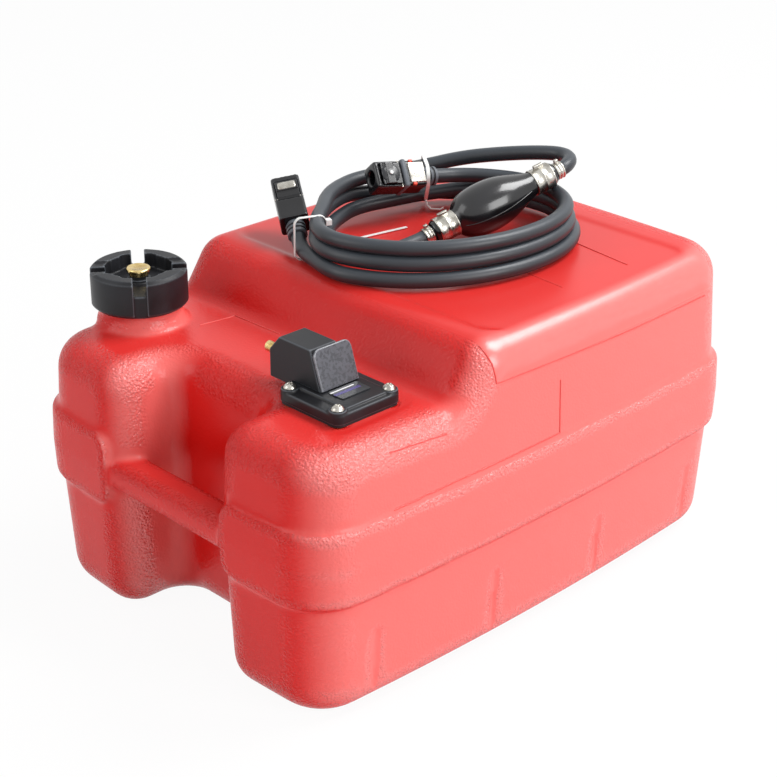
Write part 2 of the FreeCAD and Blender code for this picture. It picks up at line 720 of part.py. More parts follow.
def make_filler_cap():
    body = upright(NECK_X, NECK_Y, CAP_LOW_Z, CAP_TOP_Z, CAP_R)
    rims = [e for e in body.Edges if e.Curve.TypeId == "Part::GeomCircle" and e.BoundBox.ZLength < TINY]
    body = body.makeChamfer(CAP_CHAMFER, rims)
    cutters = [
        upright(NECK_X, NECK_Y, CAP_LOW_Z - 1, CAP_PLATE_LOW_Z, NECK_R + CAP_SKIRT_GAP),
        upright(NECK_X, NECK_Y, CAP_FLOOR_Z, CAP_TOP_Z + 1, CAP_BOWL_R),
    ]
    scallop_reach = CAP_BOWL_R + CAP_SCALLOP_DEPTH - CAP_SCALLOP_R
    inner_r, outer_r, flute_r = CAP_BOWL_R / 2, CAP_R + 1, CAP_R - CAP_FLUTE_DEPTH
    for i in range(CAP_SCALLOPS):
        x, y = about_neck(scallop_reach, CAP_NOTCH_TURN_DEG + (i + 0.5) * 360 / CAP_SCALLOPS)
        cutters.append(upright(x, y, CAP_FLOOR_Z, CAP_TOP_Z + 1, CAP_SCALLOP_R))
    for i in range(CAP_NOTCHES):
        angle = CAP_NOTCH_TURN_DEG + i * 360 / CAP_NOTCHES
        cutters.append(radial_bar(angle, inner_r, outer_r, CAP_NOTCH_WIDTH, CAP_FLOOR_Z, CAP_TOP_Z + 1))
        cutters.append(radial_bar(angle, flute_r, outer_r, CAP_NOTCH_WIDTH, CAP_LOW_Z - 1, CAP_TOP_Z))
    for i in range(CAP_NOTCHES // 2):
        angle = CAP_NOTCH_TURN_DEG + 90 + i * 180
        step_z = CAP_TOP_Z - CAP_STEP
        cutters.append(radial_bar(angle, inner_r, outer_r, CAP_STEP_WIDTH, step_z, CAP_TOP_Z + 1))
    body = body.cut(Part.makeCompound(cutters))
    boss_low = CAP_PLATE_LOW_Z - VENT_BOSS_DEPTH
    body = body.fuse(upright(NECK_X, NECK_Y, boss_low, CAP_FLOOR_Z + VENT_BOSS_RISE, VENT_BOSS_R))
    body = body.cut(upright(NECK_X, NECK_Y, boss_low - 1, CAP_TOP_Z, VENT_STEM_R + VENT_STEM_GAP))
    save("filler_cap", body)


def make_cap_gasket():
    outer_r, inner_r = NECK_R - GASKET_MARGIN, NECK_BORE_R + GASKET_MARGIN
    save("cap_gasket", ring(Vector(NECK_X, NECK_Y, NECK_TOP_Z), UP, outer_r, inner_r, GASKET_THICKNESS))


def make_vent():
    seal_z = CAP_FLOOR_Z + VENT_BOSS_RISE
    hub_z = seal_z + VENT_SEAL_THICKNESS
    head_z = hub_z + VENT_HUB_HEIGHT
    stem_low = CAP_PLATE_LOW_Z - VENT_BOSS_DEPTH - VENT_STEM_TAIL
    centre = Vector(NECK_X, NECK_Y, seal_z)
    save("vent_seal", ring(centre, UP, VENT_SEAL_R, VENT_STEM_R + VENT_STEM_GAP, VENT_SEAL_THICKNESS))
    head = upright(NECK_X, NECK_Y, head_z, head_z + VENT_HEAD_HEIGHT, VENT_HEAD_R)
    head = head.makeChamfer(VENT_HEAD_HEIGHT / 4, [e for e in head.Edges if e.BoundBox.ZLength < TINY])
    screw = head.multiFuse([
        upright(NECK_X, NECK_Y, hub_z, head_z, VENT_HUB_R),
        upright(NECK_X, NECK_Y, stem_low, hub_z, VENT_STEM_R),
    ])
    air_way = upright(NECK_X, NECK_Y, stem_low - 1, CAP_FLOOR_Z, VENT_BORE_R)
    side = Vector(NECK_X - VENT_STEM_R, NECK_Y, CAP_PLATE_LOW_Z)
    port = cylinder(side, Vector(1, 0, 0), VENT_BORE_R, 2 * VENT_STEM_R)
    save("vent_screw", screw.cut(air_way.fuse(port)))


# ---------------------------------------------------------------- gauge head
BASE_LOW_Z = FRONT_DECK_Z + GAUGE_GASKET
BASE_TOP_Z = BASE_LOW_Z + GAUGE_BASE_THICKNESS
TABLE_Z = BASE_TOP_Z + GAUGE_TABLE_RISE
PLUG_LOW_Z = BASE_LOW_Z - GAUGE_GASKET - GAUGE_PLUG_DEPTH
PICK_UP_TOP_Z = OUTLET_Z - OUTLET_BORE_R - 1
BASE_WEST_X = GAUGE_X - GAUGE_BASE_X / 2
BASE_EAST_X = GAUGE_X + GAUGE_BASE_X / 2
BASE_SOUTH_Y = GAUGE_Y - GAUGE_BASE_Y / 2
BASE_NORTH_Y = GAUGE_Y + GAUGE_BASE_Y / 2
SCREWS = four_around(GAUGE_X, GAUGE_Y, SCREW_PITCH)


def screw_holes(radius, low_z, high_z):
    return [upright(x, y, low_z, high_z, radius) for x, y in SCREWS]


def make_gauge_base():
    plate = rounded_plate(
        GAUGE_X, GAUGE_Y, GAUGE_BASE_X, GAUGE_BASE_Y, GAUGE_BASE_R, BASE_LOW_Z, BASE_TOP_Z
    )
    plate = plate.makeFillet(GAUGE_EDGE_R, [e for e in plate.Edges if e.BoundBox.ZMin > BASE_TOP_Z - TINY])
    table = block(
        Vector(BASE_WEST_X + 0.5, BASE_SOUTH_Y + GAUGE_TABLE_SIDE, BASE_TOP_Z - 2),
        Vector(BASE_EAST_X - GAUGE_TABLE_FRONT, BASE_NORTH_Y - 8, TABLE_Z),
    )
    plug = upright(GAUGE_HOLE_X, GAUGE_HOLE_Y, PLUG_LOW_Z, BASE_LOW_Z, GAUGE_HOLE_R - GAUGE_PLUG_GAP)
    body = plate.multiFuse([table, plug] + screw_holes(SCREW_BOSS_R, BASE_TOP_Z - 2, TABLE_Z))
    holes = screw_holes(SCREW_R + SCREW_HOLE_GAP, PLUG_LOW_Z, TABLE_Z + 1)
    holes += [
        upright(TUBE_X, TUBE_Y, PLUG_LOW_Z - 1, TABLE_Z + 1, TUBE_R + SLIP),
        upright(STRIP_X, STRIP_Y, PLUG_LOW_Z - 1, TABLE_Z + 1, PIVOT_R + PIVOT_GAP),
        upright(ROD_X, ROD_Y, PLUG_LOW_Z - 1, BASE_LOW_Z, ROD_R + SLIP),
    ]
    save("gauge_base", body.cut(Part.makeCompound(holes)))


def make_gauge_gasket():
    pad = rounded_plate(
        GAUGE_X, GAUGE_Y, GAUGE_BASE_X - 1, GAUGE_BASE_Y - 1, GAUGE_BASE_R, FRONT_DECK_Z, BASE_LOW_Z
    )
    holes = screw_holes(SCREW_R + SCREW_HOLE_GAP, FRONT_DECK_Z - 1, BASE_LOW_Z + 1)
    holes.append(upright(GAUGE_HOLE_X, GAUGE_HOLE_Y, FRONT_DECK_Z - 1, BASE_LOW_Z + 1, GAUGE_HOLE_R))
    save("gauge_gasket", pad.cut(Part.makeCompound(holes)))


def cross_recess(x, y, top_z):
    bars = [Part.makeBox(2 * s, 2 * t, SCREW_RECESS + 1, Vector(x - s, y - t, top_z - SCREW_RECESS))
            for s, t in ((2.4, 0.55), (0.55, 2.4))]
    return bars[0].fuse(bars[1])


def make_gauge_screws():
    screws, inserts = [], []
    low_z = FRONT_DECK_Z - INSERT_LENGTH + 1
    for x, y in SCREWS:
        ball_r = (SCREW_HEAD_R ** 2 + SCREW_HEAD_HEIGHT ** 2) / (2 * SCREW_HEAD_HEIGHT)
        ball = Part.makeSphere(ball_r, Vector(x, y, TABLE_Z + SCREW_HEAD_HEIGHT - ball_r))
        head = ball.common(upright(x, y, TABLE_Z, TABLE_Z + SCREW_HEAD_HEIGHT, SCREW_HEAD_R))
        screw = head.fuse(upright(x, y, low_z, TABLE_Z, SCREW_R))
        screws.append(screw.cut(cross_recess(x, y, TABLE_Z + SCREW_HEAD_HEIGHT)))
        foot = Vector(x, y, FRONT_DECK_Z - INSERT_LENGTH)
        inserts.append(ring(foot, UP, INSERT_R, SCREW_R + INSERT_BORE_GAP, INSERT_LENGTH))
    save("gauge_screws", *screws)
    save("tank_inserts", *inserts)


# The lens leans back from its foot on the table, towards the handle notch.
LEAN = math.radians(LENS_LEAN_DEG)
LENS_UP = Vector(-math.sin(LEAN), 0, math.cos(LEAN))
LENS_OUT = Vector(math.cos(LEAN), 0, math.sin(LEAN))


def lens_face_x(z):
    """X of the hood's leaning face at a height."""
    return LENS_FOOT_X - (z - TABLE_Z) * math.tan(LEAN)


def hood_outline(wall, y):
    top, bottom = HOOD_TOP_Z - wall, HOOD_LOW_Z + wall
    face = wall / math.cos(LEAN)
    step_x = BASE_WEST_X - 0.3 - wall
    return [
        Vector(HOOD_NOSE_X + wall, y, bottom),
        Vector(HOOD_NOSE_X + wall, y, HOOD_TOP_Z - HOOD_NOSE_CUT_Z - wall / 2),
        Vector(HOOD_NOSE_X + HOOD_NOSE_CUT_X + wall / 2, y, top),
        Vector(lens_face_x(top) - face, y, top),
        Vector(lens_face_x(TABLE_Z) - face, y, TABLE_Z),
        Vector(step_x, y, TABLE_Z),
        Vector(step_x, y, bottom),
    ]


def wing_outline(wall, y):
    top = HOOD_WING_TOP_Z - wall
    face = wall / math.cos(LEAN)
    return [
        Vector(HOOD_WING_BACK_X + wall, y, TABLE_Z),
        Vector(HOOD_WING_BACK_X + wall, y, top),
        Vector(lens_face_x(top) - face, y, top),
        Vector(lens_face_x(TABLE_Z) - face, y, TABLE_Z),
    ]


def lens_plate(low_out, high_out, margin):
    """Slab parallel to the leaning face, between two heights above that face."""
    width = LENS_WIDTH - 2 * margin
    slab = Part.makeBox(high_out - low_out, width, LENS_HEIGHT - 2 * margin)
    across = [e for e in slab.Edges if e.BoundBox.YLength < TINY]
    tops = [e for e in across if e.BoundBox.XLength > 0 and e.BoundBox.ZMin > 1]
    slab = slab.makeFillet(LENS_CORNER_R - margin, tops)
    matrix = FreeCAD.Matrix(
        LENS_OUT.x, 0, LENS_UP.x, 0,
        0, 1, 0, 0,
        LENS_OUT.z, 0, LENS_UP.z, 0,
        0, 0, 0, 1,
    )
    foot = Vector(LENS_FOOT_X, HOOD_NEAR_Y + (LENS_LEDGE / 8) + margin, TABLE_Z + 0.1)
    foot = foot.add(LENS_UP * margin).add(LENS_OUT * low_out)
    slab.Placement = FreeCAD.Placement(foot, FreeCAD.Rotation(matrix))
    return slab


def make_gauge_hood():
    far_y = HOOD_NEAR_Y + LENS_WIDTH + 1
    hood = extruded(hood_outline(0, HOOD_NEAR_Y), Vector(0, HOOD_FAR_Y - HOOD_NEAR_Y, 0))
    wing = extruded(wing_outline(0, HOOD_FAR_Y), Vector(0, far_y - HOOD_FAR_Y, 0))
    outer = hood.fuse(wing)
    depth = HOOD_FAR_Y - HOOD_NEAR_Y - 2 * HOOD_WALL
    inner = extruded(hood_outline(HOOD_WALL, HOOD_NEAR_Y + HOOD_WALL), Vector(0, depth, 0))
    inner_wing = extruded(
        wing_outline(HOOD_WALL, HOOD_FAR_Y - 3 * HOOD_WALL), Vector(0, far_y - HOOD_FAR_Y + 2 * HOOD_WALL, 0)
    )
    window = lens_plate(-2 * HOOD_WALL, 1, LENS_LEDGE)
    nose = Vector(HOOD_NOSE_X - 1, TUBE_Y, OUTLET_Z)
    outlet = cylinder(nose, Vector(1, 0, 0), OUTLET_R + SLIP, HOOD_WALL + 2)
    save("gauge_hood", outer.cut(inner.multiFuse([inner_wing, window, outlet])))
    save("gauge_lens", lens_plate(0, LENS_THICKNESS, 0))


def make_scale_plate():
    low_x = LENS_FOOT_X + SCALE_PLATE_GAP
    centre_y = HOOD_NEAR_Y + LENS_WIDTH / 2
    plate = rounded_plate(
        low_x + SCALE_PLATE_X / 2, centre_y, SCALE_PLATE_X, SCALE_PLATE_Y, SCALE_PLATE_R,
        TABLE_Z, TABLE_Z + SCALE_PLATE_THICKNESS,
    )
    save("scale_plate", plate)


def make_outlet():
    axis = Vector(-1, 0, 0)
    elbow_x = TUBE_X + ELBOW_LENGTH / 2
    inner_x = elbow_x - ELBOW_LENGTH
    nose_x = HOOD_NOSE_X - OUTLET_RING
    start = Vector(inner_x, TUBE_Y, OUTLET_Z)
    length = inner_x - (HOOD_NOSE_X - OUTLET_REACH)
    body = cylinder(start, axis, OUTLET_R, length)
    collar = cylinder(Vector(nose_x, TUBE_Y, OUTLET_Z), axis, OUTLET_COLLAR_R, OUTLET_COLLAR)
    tip = [e for e in body.Edges if abs(edge_middle(e).x - (HOOD_NOSE_X - OUTLET_REACH)) < TINY]
    nipple = body.makeChamfer(OUTLET_TIP_CHAMFER, tip).fuse(collar)
    nipple = nipple.cut(cylinder(start.add(Vector(1, 0, 0)), axis, OUTLET_BORE_R, length + 2))
    save("outlet_nipple", nipple)
    seat = Vector(HOOD_NOSE_X, TUBE_Y, OUTLET_Z)
    save("outlet_o_ring", ring(seat, axis, OUTLET_RING_R, OUTLET_R + SLIP, OUTLET_RING))
    half = ELBOW_SIDE / 2
    elbow = block(
        Vector(inner_x, TUBE_Y - half, TABLE_Z + 1), Vector(elbow_x, TUBE_Y + half, OUTLET_Z + half)
    )
    bores = upright(TUBE_X, TUBE_Y, TABLE_Z, PICK_UP_TOP_Z, TUBE_R + SLIP).multiFuse([
        upright(TUBE_X, TUBE_Y, TABLE_Z, OUTLET_Z, OUTLET_BORE_R),
        cylinder(start.add(Vector(-1, 0, 0)), Vector(1, 0, 0), OUTLET_BORE_R, ELBOW_LENGTH / 2 + 1),
    ])
    save("outlet_elbow", elbow.cut(bores))


# ---------------------------------------------------------------- inside the tank
BRACKET_TOP_Z = BRACKET_Z + BRACKET_THICKNESS
STRIP_LOW_Z = BRACKET_TOP_Z + STRIP_END_GAP
STRIP_HIGH_Z = PLUG_LOW_Z - STRIP_END_GAP
FLOAT_LOW_Z = BRACKET_TOP_Z + FLOAT_END_GAP
FLOAT_TOP_Z = FLOAT_LOW_Z + FLOAT_HEIGHT
FLOAT_TRAVEL = PLUG_LOW_Z - FLOAT_END_GAP - FLOAT_TOP_Z
TWIST_PER_MM = STRIP_TWIST_DEG / (STRIP_HIGH_Z - STRIP_LOW_Z)


def make_pick_up():
    foot = Vector(TUBE_X, TUBE_Y, TUBE_FOOT_Z)
    save("pick_up_tube", ring(foot, UP, TUBE_R, TUBE_BORE_R, PICK_UP_TOP_Z - TUBE_FOOT_Z))
    top_z, floor_z = STRAINER_LOW_Z + STRAINER_HEIGHT, STRAINER_LOW_Z + STRAINER_WALL
    cup = upright(TUBE_X, TUBE_Y, STRAINER_LOW_Z, top_z, STRAINER_R)
    hollow = upright(TUBE_X, TUBE_Y, floor_z, top_z - STRAINER_COLLAR, STRAINER_R - STRAINER_WALL)
    entry = upright(TUBE_X, TUBE_Y, floor_z, top_z + 1, TUBE_R + SLIP)
    save("pick_up_strainer", cup.cut(hollow.fuse(entry)))
    save("guide_rod", upright(ROD_X, ROD_Y, BRACKET_Z, BASE_LOW_Z - 1, ROD_R))


def make_bottom_bracket():
    low = Vector(TUBE_X - TUBE_R - BRACKET_MARGIN, TUBE_Y - TUBE_R - BRACKET_MARGIN, BRACKET_Z)
    high = Vector(ROD_X + ROD_R + BRACKET_MARGIN, STRIP_Y + BRACKET_MARGIN, BRACKET_TOP_Z)
    plate = block(low, high)
    holes = [
        upright(TUBE_X, TUBE_Y, BRACKET_Z - 1, BRACKET_TOP_Z + 1, TUBE_R + SLIP),
        upright(ROD_X, ROD_Y, BRACKET_Z - 1, BRACKET_TOP_Z + 1, ROD_R + SLIP),
        upright(STRIP_X, STRIP_Y, BRACKET_TOP_Z - PIVOT_DEPTH, BRACKET_TOP_Z + 1, PIVOT_R + PIVOT_GAP),
    ]
    save("bottom_bracket", plate.cut(Part.makeCompound(holes)))


def strip_section(z):
    """Flat section of the twisted strip. It lies along Y where the float's slot holds it at rest."""
    slot_z = FLOAT_TOP_Z - SLOT_PLATE_THICKNESS / 2
    angle = math.radians(90 + TWIST_PER_MM * (z - slot_z))
    along = Vector(math.cos(angle), math.sin(angle), 0) * (STRIP_WIDTH / 2)
    across = Vector(-math.sin(angle), math.cos(angle), 0) * (STRIP_THICKNESS / 2)
    centre = Vector(STRIP_X, STRIP_Y, z)
    offsets = [along + across, across - along, (along + across) * -1, along - across]
    corners = [centre + offset for offset in offsets]
    return Part.makePolygon(corners + corners[:1])


def make_strip_and_drum():
    span = STRIP_HIGH_Z - STRIP_LOW_Z
    sections = [strip_section(STRIP_LOW_Z + span * i / (STRIP_SECTIONS - 1)) for i in range(STRIP_SECTIONS)]
    blade = Part.makeLoft(sections, True, True)
    drum_z = TABLE_Z + DRUM_LIFT
    lower = upright(STRIP_X, STRIP_Y, BRACKET_TOP_Z - PIVOT_DEPTH + STRIP_END_GAP, STRIP_LOW_Z + 1, PIVOT_R)
    drum_bore_z = drum_z + DRUM_HEIGHT - DRUM_CROWN
    upper = upright(STRIP_X, STRIP_Y, STRIP_HIGH_Z - STRIP_ROOT, drum_bore_z, PIVOT_R)
    save("twisted_strip", blade.multiFuse([lower, upper]))
    drum = upright(STRIP_X, STRIP_Y, drum_z, drum_z + DRUM_HEIGHT, DRUM_R)
    tops = [e for e in drum.Edges if e.BoundBox.ZMin > drum_z + DRUM_HEIGHT - TINY]
    drum = drum.makeFillet(DRUM_EDGE_R, tops)
    save("indicator_drum", drum.cut(upright(STRIP_X, STRIP_Y, drum_z - 1, drum_bore_z, PIVOT_R)))


def about_strip(half_x, half_y, low_z, high_z):
    """Block around the axis of the twisted strip."""
    low = Vector(STRIP_X - half_x, STRIP_Y - half_y, low_z)
    return block(low, Vector(STRIP_X + half_x, STRIP_Y + half_y, high_z))


def make_float():
    body = rounded_plate(
        FLOAT_X, FLOAT_Y, FLOAT_SIZE_X, FLOAT_SIZE_Y, FLOAT_CORNER_R, FLOAT_LOW_Z, FLOAT_TOP_Z
    )
    body = body.makeFillet(FLOAT_EDGE_R, [e for e in body.Edges if e.BoundBox.ZLength < TINY])
    plate_low = FLOAT_TOP_Z - SLOT_PLATE_THICKNESS
    pocket = about_strip(SLOT_PLATE_X / 2, SLOT_PLATE_Y / 2, plate_low, FLOAT_TOP_Z + 1)
    well = upright(STRIP_X, STRIP_Y, FLOAT_LOW_Z - 1, plate_low, STRIP_WIDTH / 2 + STRIP_WELL_GAP)
    guides = [
        upright(TUBE_X, TUBE_Y, FLOAT_LOW_Z - 1, FLOAT_TOP_Z + 1, TUBE_R + FLOAT_GUIDE_GAP),
        upright(ROD_X, ROD_Y, FLOAT_LOW_Z - 1, FLOAT_TOP_Z + 1, ROD_R + FLOAT_GUIDE_GAP),
    ]
    save("float", body.cut(Part.makeCompound([pocket, well] + guides)))
    plate = about_strip(SLOT_PLATE_X / 2, SLOT_PLATE_Y / 2, plate_low, FLOAT_TOP_Z)
    slot_x, slot_y = STRIP_THICKNESS / 2 + SLOT_GAP_THICK, STRIP_WIDTH / 2 + SLOT_GAP_WIDE
    slot = about_strip(slot_x, slot_y, plate_low - 1, FLOAT_TOP_Z + 1)
    save("float_slot_plate", plate.cut(slot))


# ---------------------------------------------------------------- hose
def between_keys(keys, angle):
    for first, last in zip(keys, keys[1:]):
        if first[0] <= angle <= last[0]:
            t = (angle - first[0]) / (last[0] - first[0])
            return [a + t * (b - a) for a, b in zip(first[1:], last[1:])]
    raise ValueError("angle outside the keys")


def coil_point(keys, angle, side, z):
    """Point of a coil's middle line (side 0), or of its outer (1) or inner (-1) outline."""
    half_x, half_y, width = between_keys(keys, angle % 360)
    a = math.radians(angle)
    lean = 1 + COIL_LEAN * math.cos(2 * (a - math.radians(COIL_LEAN_DEG)))
    middle = Vector(half_x * lean * math.cos(a), half_y * lean * math.sin(a), 0)
    outward = Vector(math.cos(a) / half_x, math.sin(a) / half_y, 0).normalize()
    return Vector(COIL_X, COIL_Y, z) + middle + outward * (side * width / 2)


def coil_loop(keys, side, z):
    points = [coil_point(keys, i * 360 / COIL_POINTS, side, z) for i in range(COIL_POINTS)]
    curve = Part.BSplineCurve()
    curve.interpolate(points, PeriodicFlag=True)
    return Part.Wire([curve.toShape()])


def coil_solid(keys, low_z, height):
    outer = Part.Face(coil_loop(keys, 1, low_z)).extrude(UP * height)
    inner = Part.Face(coil_loop(keys, -1, low_z)).extrude(UP * height)
    body = outer.cut(inner)
    rims = [e for e in body.Edges if e.BoundBox.ZLength < TINY]
    return body.makeFillet(COIL_EDGE_R, rims)


COIL_LOW_Z = UPPER_DECK_Z + COIL_LIFT
UPPER_COIL_LOW_Z = COIL_LOW_Z + LOWER_COIL_HEIGHT


def cord_path(name, points):
    """Straight runs joined by tangent arcs, each as large as its two runs allow."""
    edges, radii, start = [], [], points[0]
    for before, corner, after in zip(points, points[1:], points[2:]):
        back, ahead = before.sub(corner), after.sub(corner)
        turn = math.pi - back.getAngle(ahead)
        reach = 0.45 * min(back.Length, ahead.Length)
        radii.append(reach / math.tan(turn / 2))
        first = corner + back.normalize() * reach
        last = corner + ahead.normalize() * reach
        half = (first + last) * 0.5
        to_corner = corner.sub(half)
        sag = radii[-1] * (1 - math.cos(turn / 2))
        middle = half + to_corner.normalize() * sag
        edges.append(Part.LineSegment(start, first).toShape())
        edges.append(Part.Arc(first, middle, last).toShape())
        start = last
    edges.append(Part.LineSegment(start, points[-1]).toShape())
    path = Part.Wire(edges)
    print(name, "length", round(path.Length, 1), "radii", [round(r, 1) for r in radii])
    return path


def cord_tube(name, points):
    path = cord_path(name, points)
    section = Part.Wire([Part.Circle(points[0], points[1].sub(points[0]), HOSE_R).toShape()])
    tube = path.makePipeShell([section], True, True)
    expected = math.pi * HOSE_R ** 2 * path.Length
    print(name, "volume ratio", round(tube.Volume / expected, 4))
    return tube


# ---------------------------------------------------------------- primer bulb
BULB_AXIS = BULB_OUTLET.sub(BULB_INLET).normalize()
BULB_SPAN = BULB_OUTLET.sub(BULB_INLET).Length
ACROSS_BULB = BULB_AXIS.cross(UP).normalize()
ABOVE_BULB = ACROSS_BULB.cross(BULB_AXIS).normalize()


def along_bulb(distance):
    return BULB_INLET + BULB_AXIS * distance


def bulb_solid(wall, over):
    """Turned form of the bulb, longer by over at both ends."""
    neck, swell = BULB_NECK_R - wall, BULB_MAX_R - BULB_NECK_R
    belly = BULB_SPAN - 2 * BULB_NECK
    profile = [(-over, neck)]
    profile += [(BULB_NECK + s * belly, neck + k * swell) for s, k in BULB_SWELL]
    profile.append((BULB_SPAN + over, neck))
    return turned([(s + over, r) for s, r in profile], along_bulb(-over), BULB_AXIS)


def make_bulb():
    save("primer_bulb", bulb_solid(0, 0).cut(bulb_solid(BULB_WALL, 1)))


# Both balls travel along the bulb's axis, towards the outlet, away from their seats.
PLUG_R = BULB_NECK_R - BULB_WALL
PLUG_END = BULB_NECK + FITTING_PLUG
CHAMBER_LENGTH = 2 * BALL_R + BALL_TRAVEL + BALL_GAP
INLET_SEAT = PLUG_END - CHAMBER_LENGTH - 2 * BALL_STOP_R
OUTLET_SEAT = BULB_SPAN - CHAMBER_LENGTH - 2 * BALL_STOP_R - FITTING_COLLAR


def bulb_fitting(plug_start, plug_end, barb_start, barb_end, seat):
    """Barbed fitting with a ball chamber in its plug and a pin that keeps the ball in."""
    body = cylinder(along_bulb(plug_start), BULB_AXIS, PLUG_R, plug_end - plug_start)
    body = body.fuse(cylinder(along_bulb(barb_start), BULB_AXIS, HOSE_BORE_R, barb_end - barb_start))
    low, length = along_bulb(-2 * BULB_NECK), BULB_SPAN + 4 * BULB_NECK
    chamber = cylinder(along_bulb(seat), BULB_AXIS, BALL_R + BALL_GAP, CHAMBER_LENGTH + BALL_STOP_R)
    body = body.cut(chamber.fuse(cylinder(low, BULB_AXIS, FITTING_BORE_R, length)))
    stop = along_bulb(seat + CHAMBER_LENGTH + BALL_STOP_R) - ACROSS_BULB * (PLUG_R - 0.5)
    return body.fuse(cylinder(stop, ACROSS_BULB, BALL_STOP_R, 2 * PLUG_R - 1))


def seated_ball(seat):
    """The ball sinks a little into the bore's mouth when it is shut."""
    sink = BALL_R - math.sqrt(BALL_R ** 2 - FITTING_BORE_R ** 2)
    return Part.makeSphere(BALL_R, along_bulb(seat + BALL_R - sink + SLIP))


def make_bulb_fittings():
    outlet_start = BULB_SPAN - PLUG_END
    save("bulb_inlet_fitting", bulb_fitting(0, PLUG_END, -FITTING_HOSE_BARB, 0, INLET_SEAT))
    save("bulb_outlet_fitting", bulb_fitting(
        outlet_start, BULB_SPAN, BULB_SPAN, BULB_SPAN + FITTING_HOSE_BARB, OUTLET_SEAT))
    save("bulb_inlet_ball", seated_ball(INLET_SEAT))
    save("bulb_outlet_ball", seated_ball(OUTLET_SEAT))


def band(start, inner_r):
    """Sheet steel band clamp with a pinched ear."""
    body = ring(along_bulb(start), BULB_AXIS, inner_r + CLAMP_THICKNESS, inner_r, CLAMP_LENGTH)
    ear = Part.makeBox(CLAMP_EAR / 2, CLAMP_LENGTH / 2, CLAMP_EAR)
    matrix = FreeCAD.Matrix(
        ACROSS_BULB.x, BULB_AXIS.x, ABOVE_BULB.x, 0,
        ACROSS_BULB.y, BULB_AXIS.y, ABOVE_BULB.y, 0,
        ACROSS_BULB.z, BULB_AXIS.z, ABOVE_BULB.z, 0,
        0, 0, 0, 1,
    )
    foot = along_bulb(start + CLAMP_LENGTH / 4) + ABOVE_BULB * (inner_r + CLAMP_THICKNESS / 2)
    ear.Placement = FreeCAD.Placement(foot - ACROSS_BULB * (CLAMP_EAR / 4), FreeCAD.Rotation(matrix))
    return body.fuse(ear)


def make_clamps():
    neck_r, hose_r = BULB_NECK_R + SLIP, HOSE_R + SLIP
    far = BULB_SPAN - CLAMP_MARGIN - CLAMP_LENGTH
    save("bulb_clamps", band(CLAMP_MARGIN, neck_r), band(far, neck_r))
    near, far = -CLAMP_MARGIN - CLAMP_LENGTH, BULB_SPAN + CLAMP_MARGIN
    save("hose_clamps", band(near, hose_r), band(far, hose_r))


def make_hoses():
    ties = Part.makeCompound([tie_space(t) for t in TIES])
    lower = coil_solid(LOWER_COIL_KEYS, COIL_LOW_Z, LOWER_COIL_HEIGHT)
    upper = coil_solid(UPPER_COIL_KEYS, UPPER_COIL_LOW_Z, UPPER_COIL_HEIGHT)
    save("inlet_hose_coil", lower.cut(ties))
    save("outlet_hose_coil", upper.cut(ties))
    save("tank_end_hose", cord_tube("tank_end_hose", on_deck(TANK_END_ROUTE)))
    save("engine_end_hose", cord_tube("engine_end_hose", on_deck(ENGINE_END_ROUTE)))
    barbs = [
        cylinder(along_bulb(-FITTING_HOSE_BARB - 1), BULB_AXIS, HOSE_BORE_R, FITTING_HOSE_BARB + 2),
        cylinder(along_bulb(BULB_SPAN - 1), BULB_AXIS, HOSE_BORE_R, FITTING_HOSE_BARB + 2),
    ]
    before_bulb, after_bulb = along_bulb(-HOSE_BEFORE_BULB), along_bulb(BULB_SPAN + HOSE_AFTER_BULB)
    inlet = cord_tube("bulb_inlet_hose", on_deck(INLET_ROUTE) + [before_bulb, BULB_INLET])
    outlet = cord_tube("bulb_outlet_hose", [BULB_OUTLET, after_bulb] + on_deck(OUTLET_ROUTE))
    save("bulb_inlet_hose", inlet.cut(barbs[0]))
    save("bulb_outlet_hose", outlet.cut(barbs[1]))


# ---------------------------------------------------------------- connectors
def frame_at(foot, axis, side_hint):
    """Placement whose local Z is the connector's axis and local Y faces the latch side."""
    z = Vector(axis).normalize()
    x = side_hint.cross(z).normalize()
    y = z.cross(x)
    matrix = FreeCAD.Matrix(x.x, y.x, z.x, 0, x.y, y.y, z.y, 0, x.z, y.z, z.z, 0, 0, 0, 0, 1)
    return FreeCAD.Placement(foot, FreeCAD.Rotation(matrix))


def placed(shape, placement):
    copy = shape.copy()
    copy.Placement = placement.multiply(copy.Placement)
    return copy


def connector_body():
    half_x, half_y = CONNECTOR_WIDTH / 2, CONNECTOR_DEPTH / 2
    top = FERRULE_LENGTH + CONNECTOR_LENGTH
    body = block(Vector(-half_x, -half_y, FERRULE_LENGTH), Vector(half_x, half_y, top))
    body = body.makeFillet(CONNECTOR_EDGE_R, [e for e in body.Edges if e.BoundBox.ZLength > 1])
    socket = cylinder(Vector(0, 0, top - SOCKET_DEPTH), UP, SOCKET_R, SOCKET_DEPTH + 1)
    seat_z = top - SOCKET_DEPTH - SOCKET_SEAL_THICKNESS
    seat = cylinder(Vector(0, 0, seat_z), UP, SOCKET_SEAT_R, SOCKET_SEAL_THICKNESS + 1)
    feed = cylinder(Vector(0, 0, FERRULE_LENGTH - 1), UP, FITTING_BORE_R, CONNECTOR_LENGTH)
    pocket_x = LATCH_WIDTH / 2 + LATCH_GAP
    pivot = latch_pivot()
    eye_r = LATCH_PIN_R + LATCH_EYE + LATCH_GAP
    pocket = block(
        Vector(-pocket_x, half_y - LATCH_POCKET, pivot.z),
        Vector(pocket_x, half_y + 1, pivot.z + LATCH_LENGTH + LATCH_GAP),
    )
    low = Vector(-pocket_x, pivot.y - eye_r, pivot.z - eye_r)
    hollow = block(low, Vector(pocket_x, half_y + 1, pivot.z + eye_r))
    pin = pin_hole(LATCH_PIN_R, CONNECTOR_WIDTH)
    return body.cut(pocket.multiFuse([hollow, pin])).cut(feed).cut(socket).cut(seat)


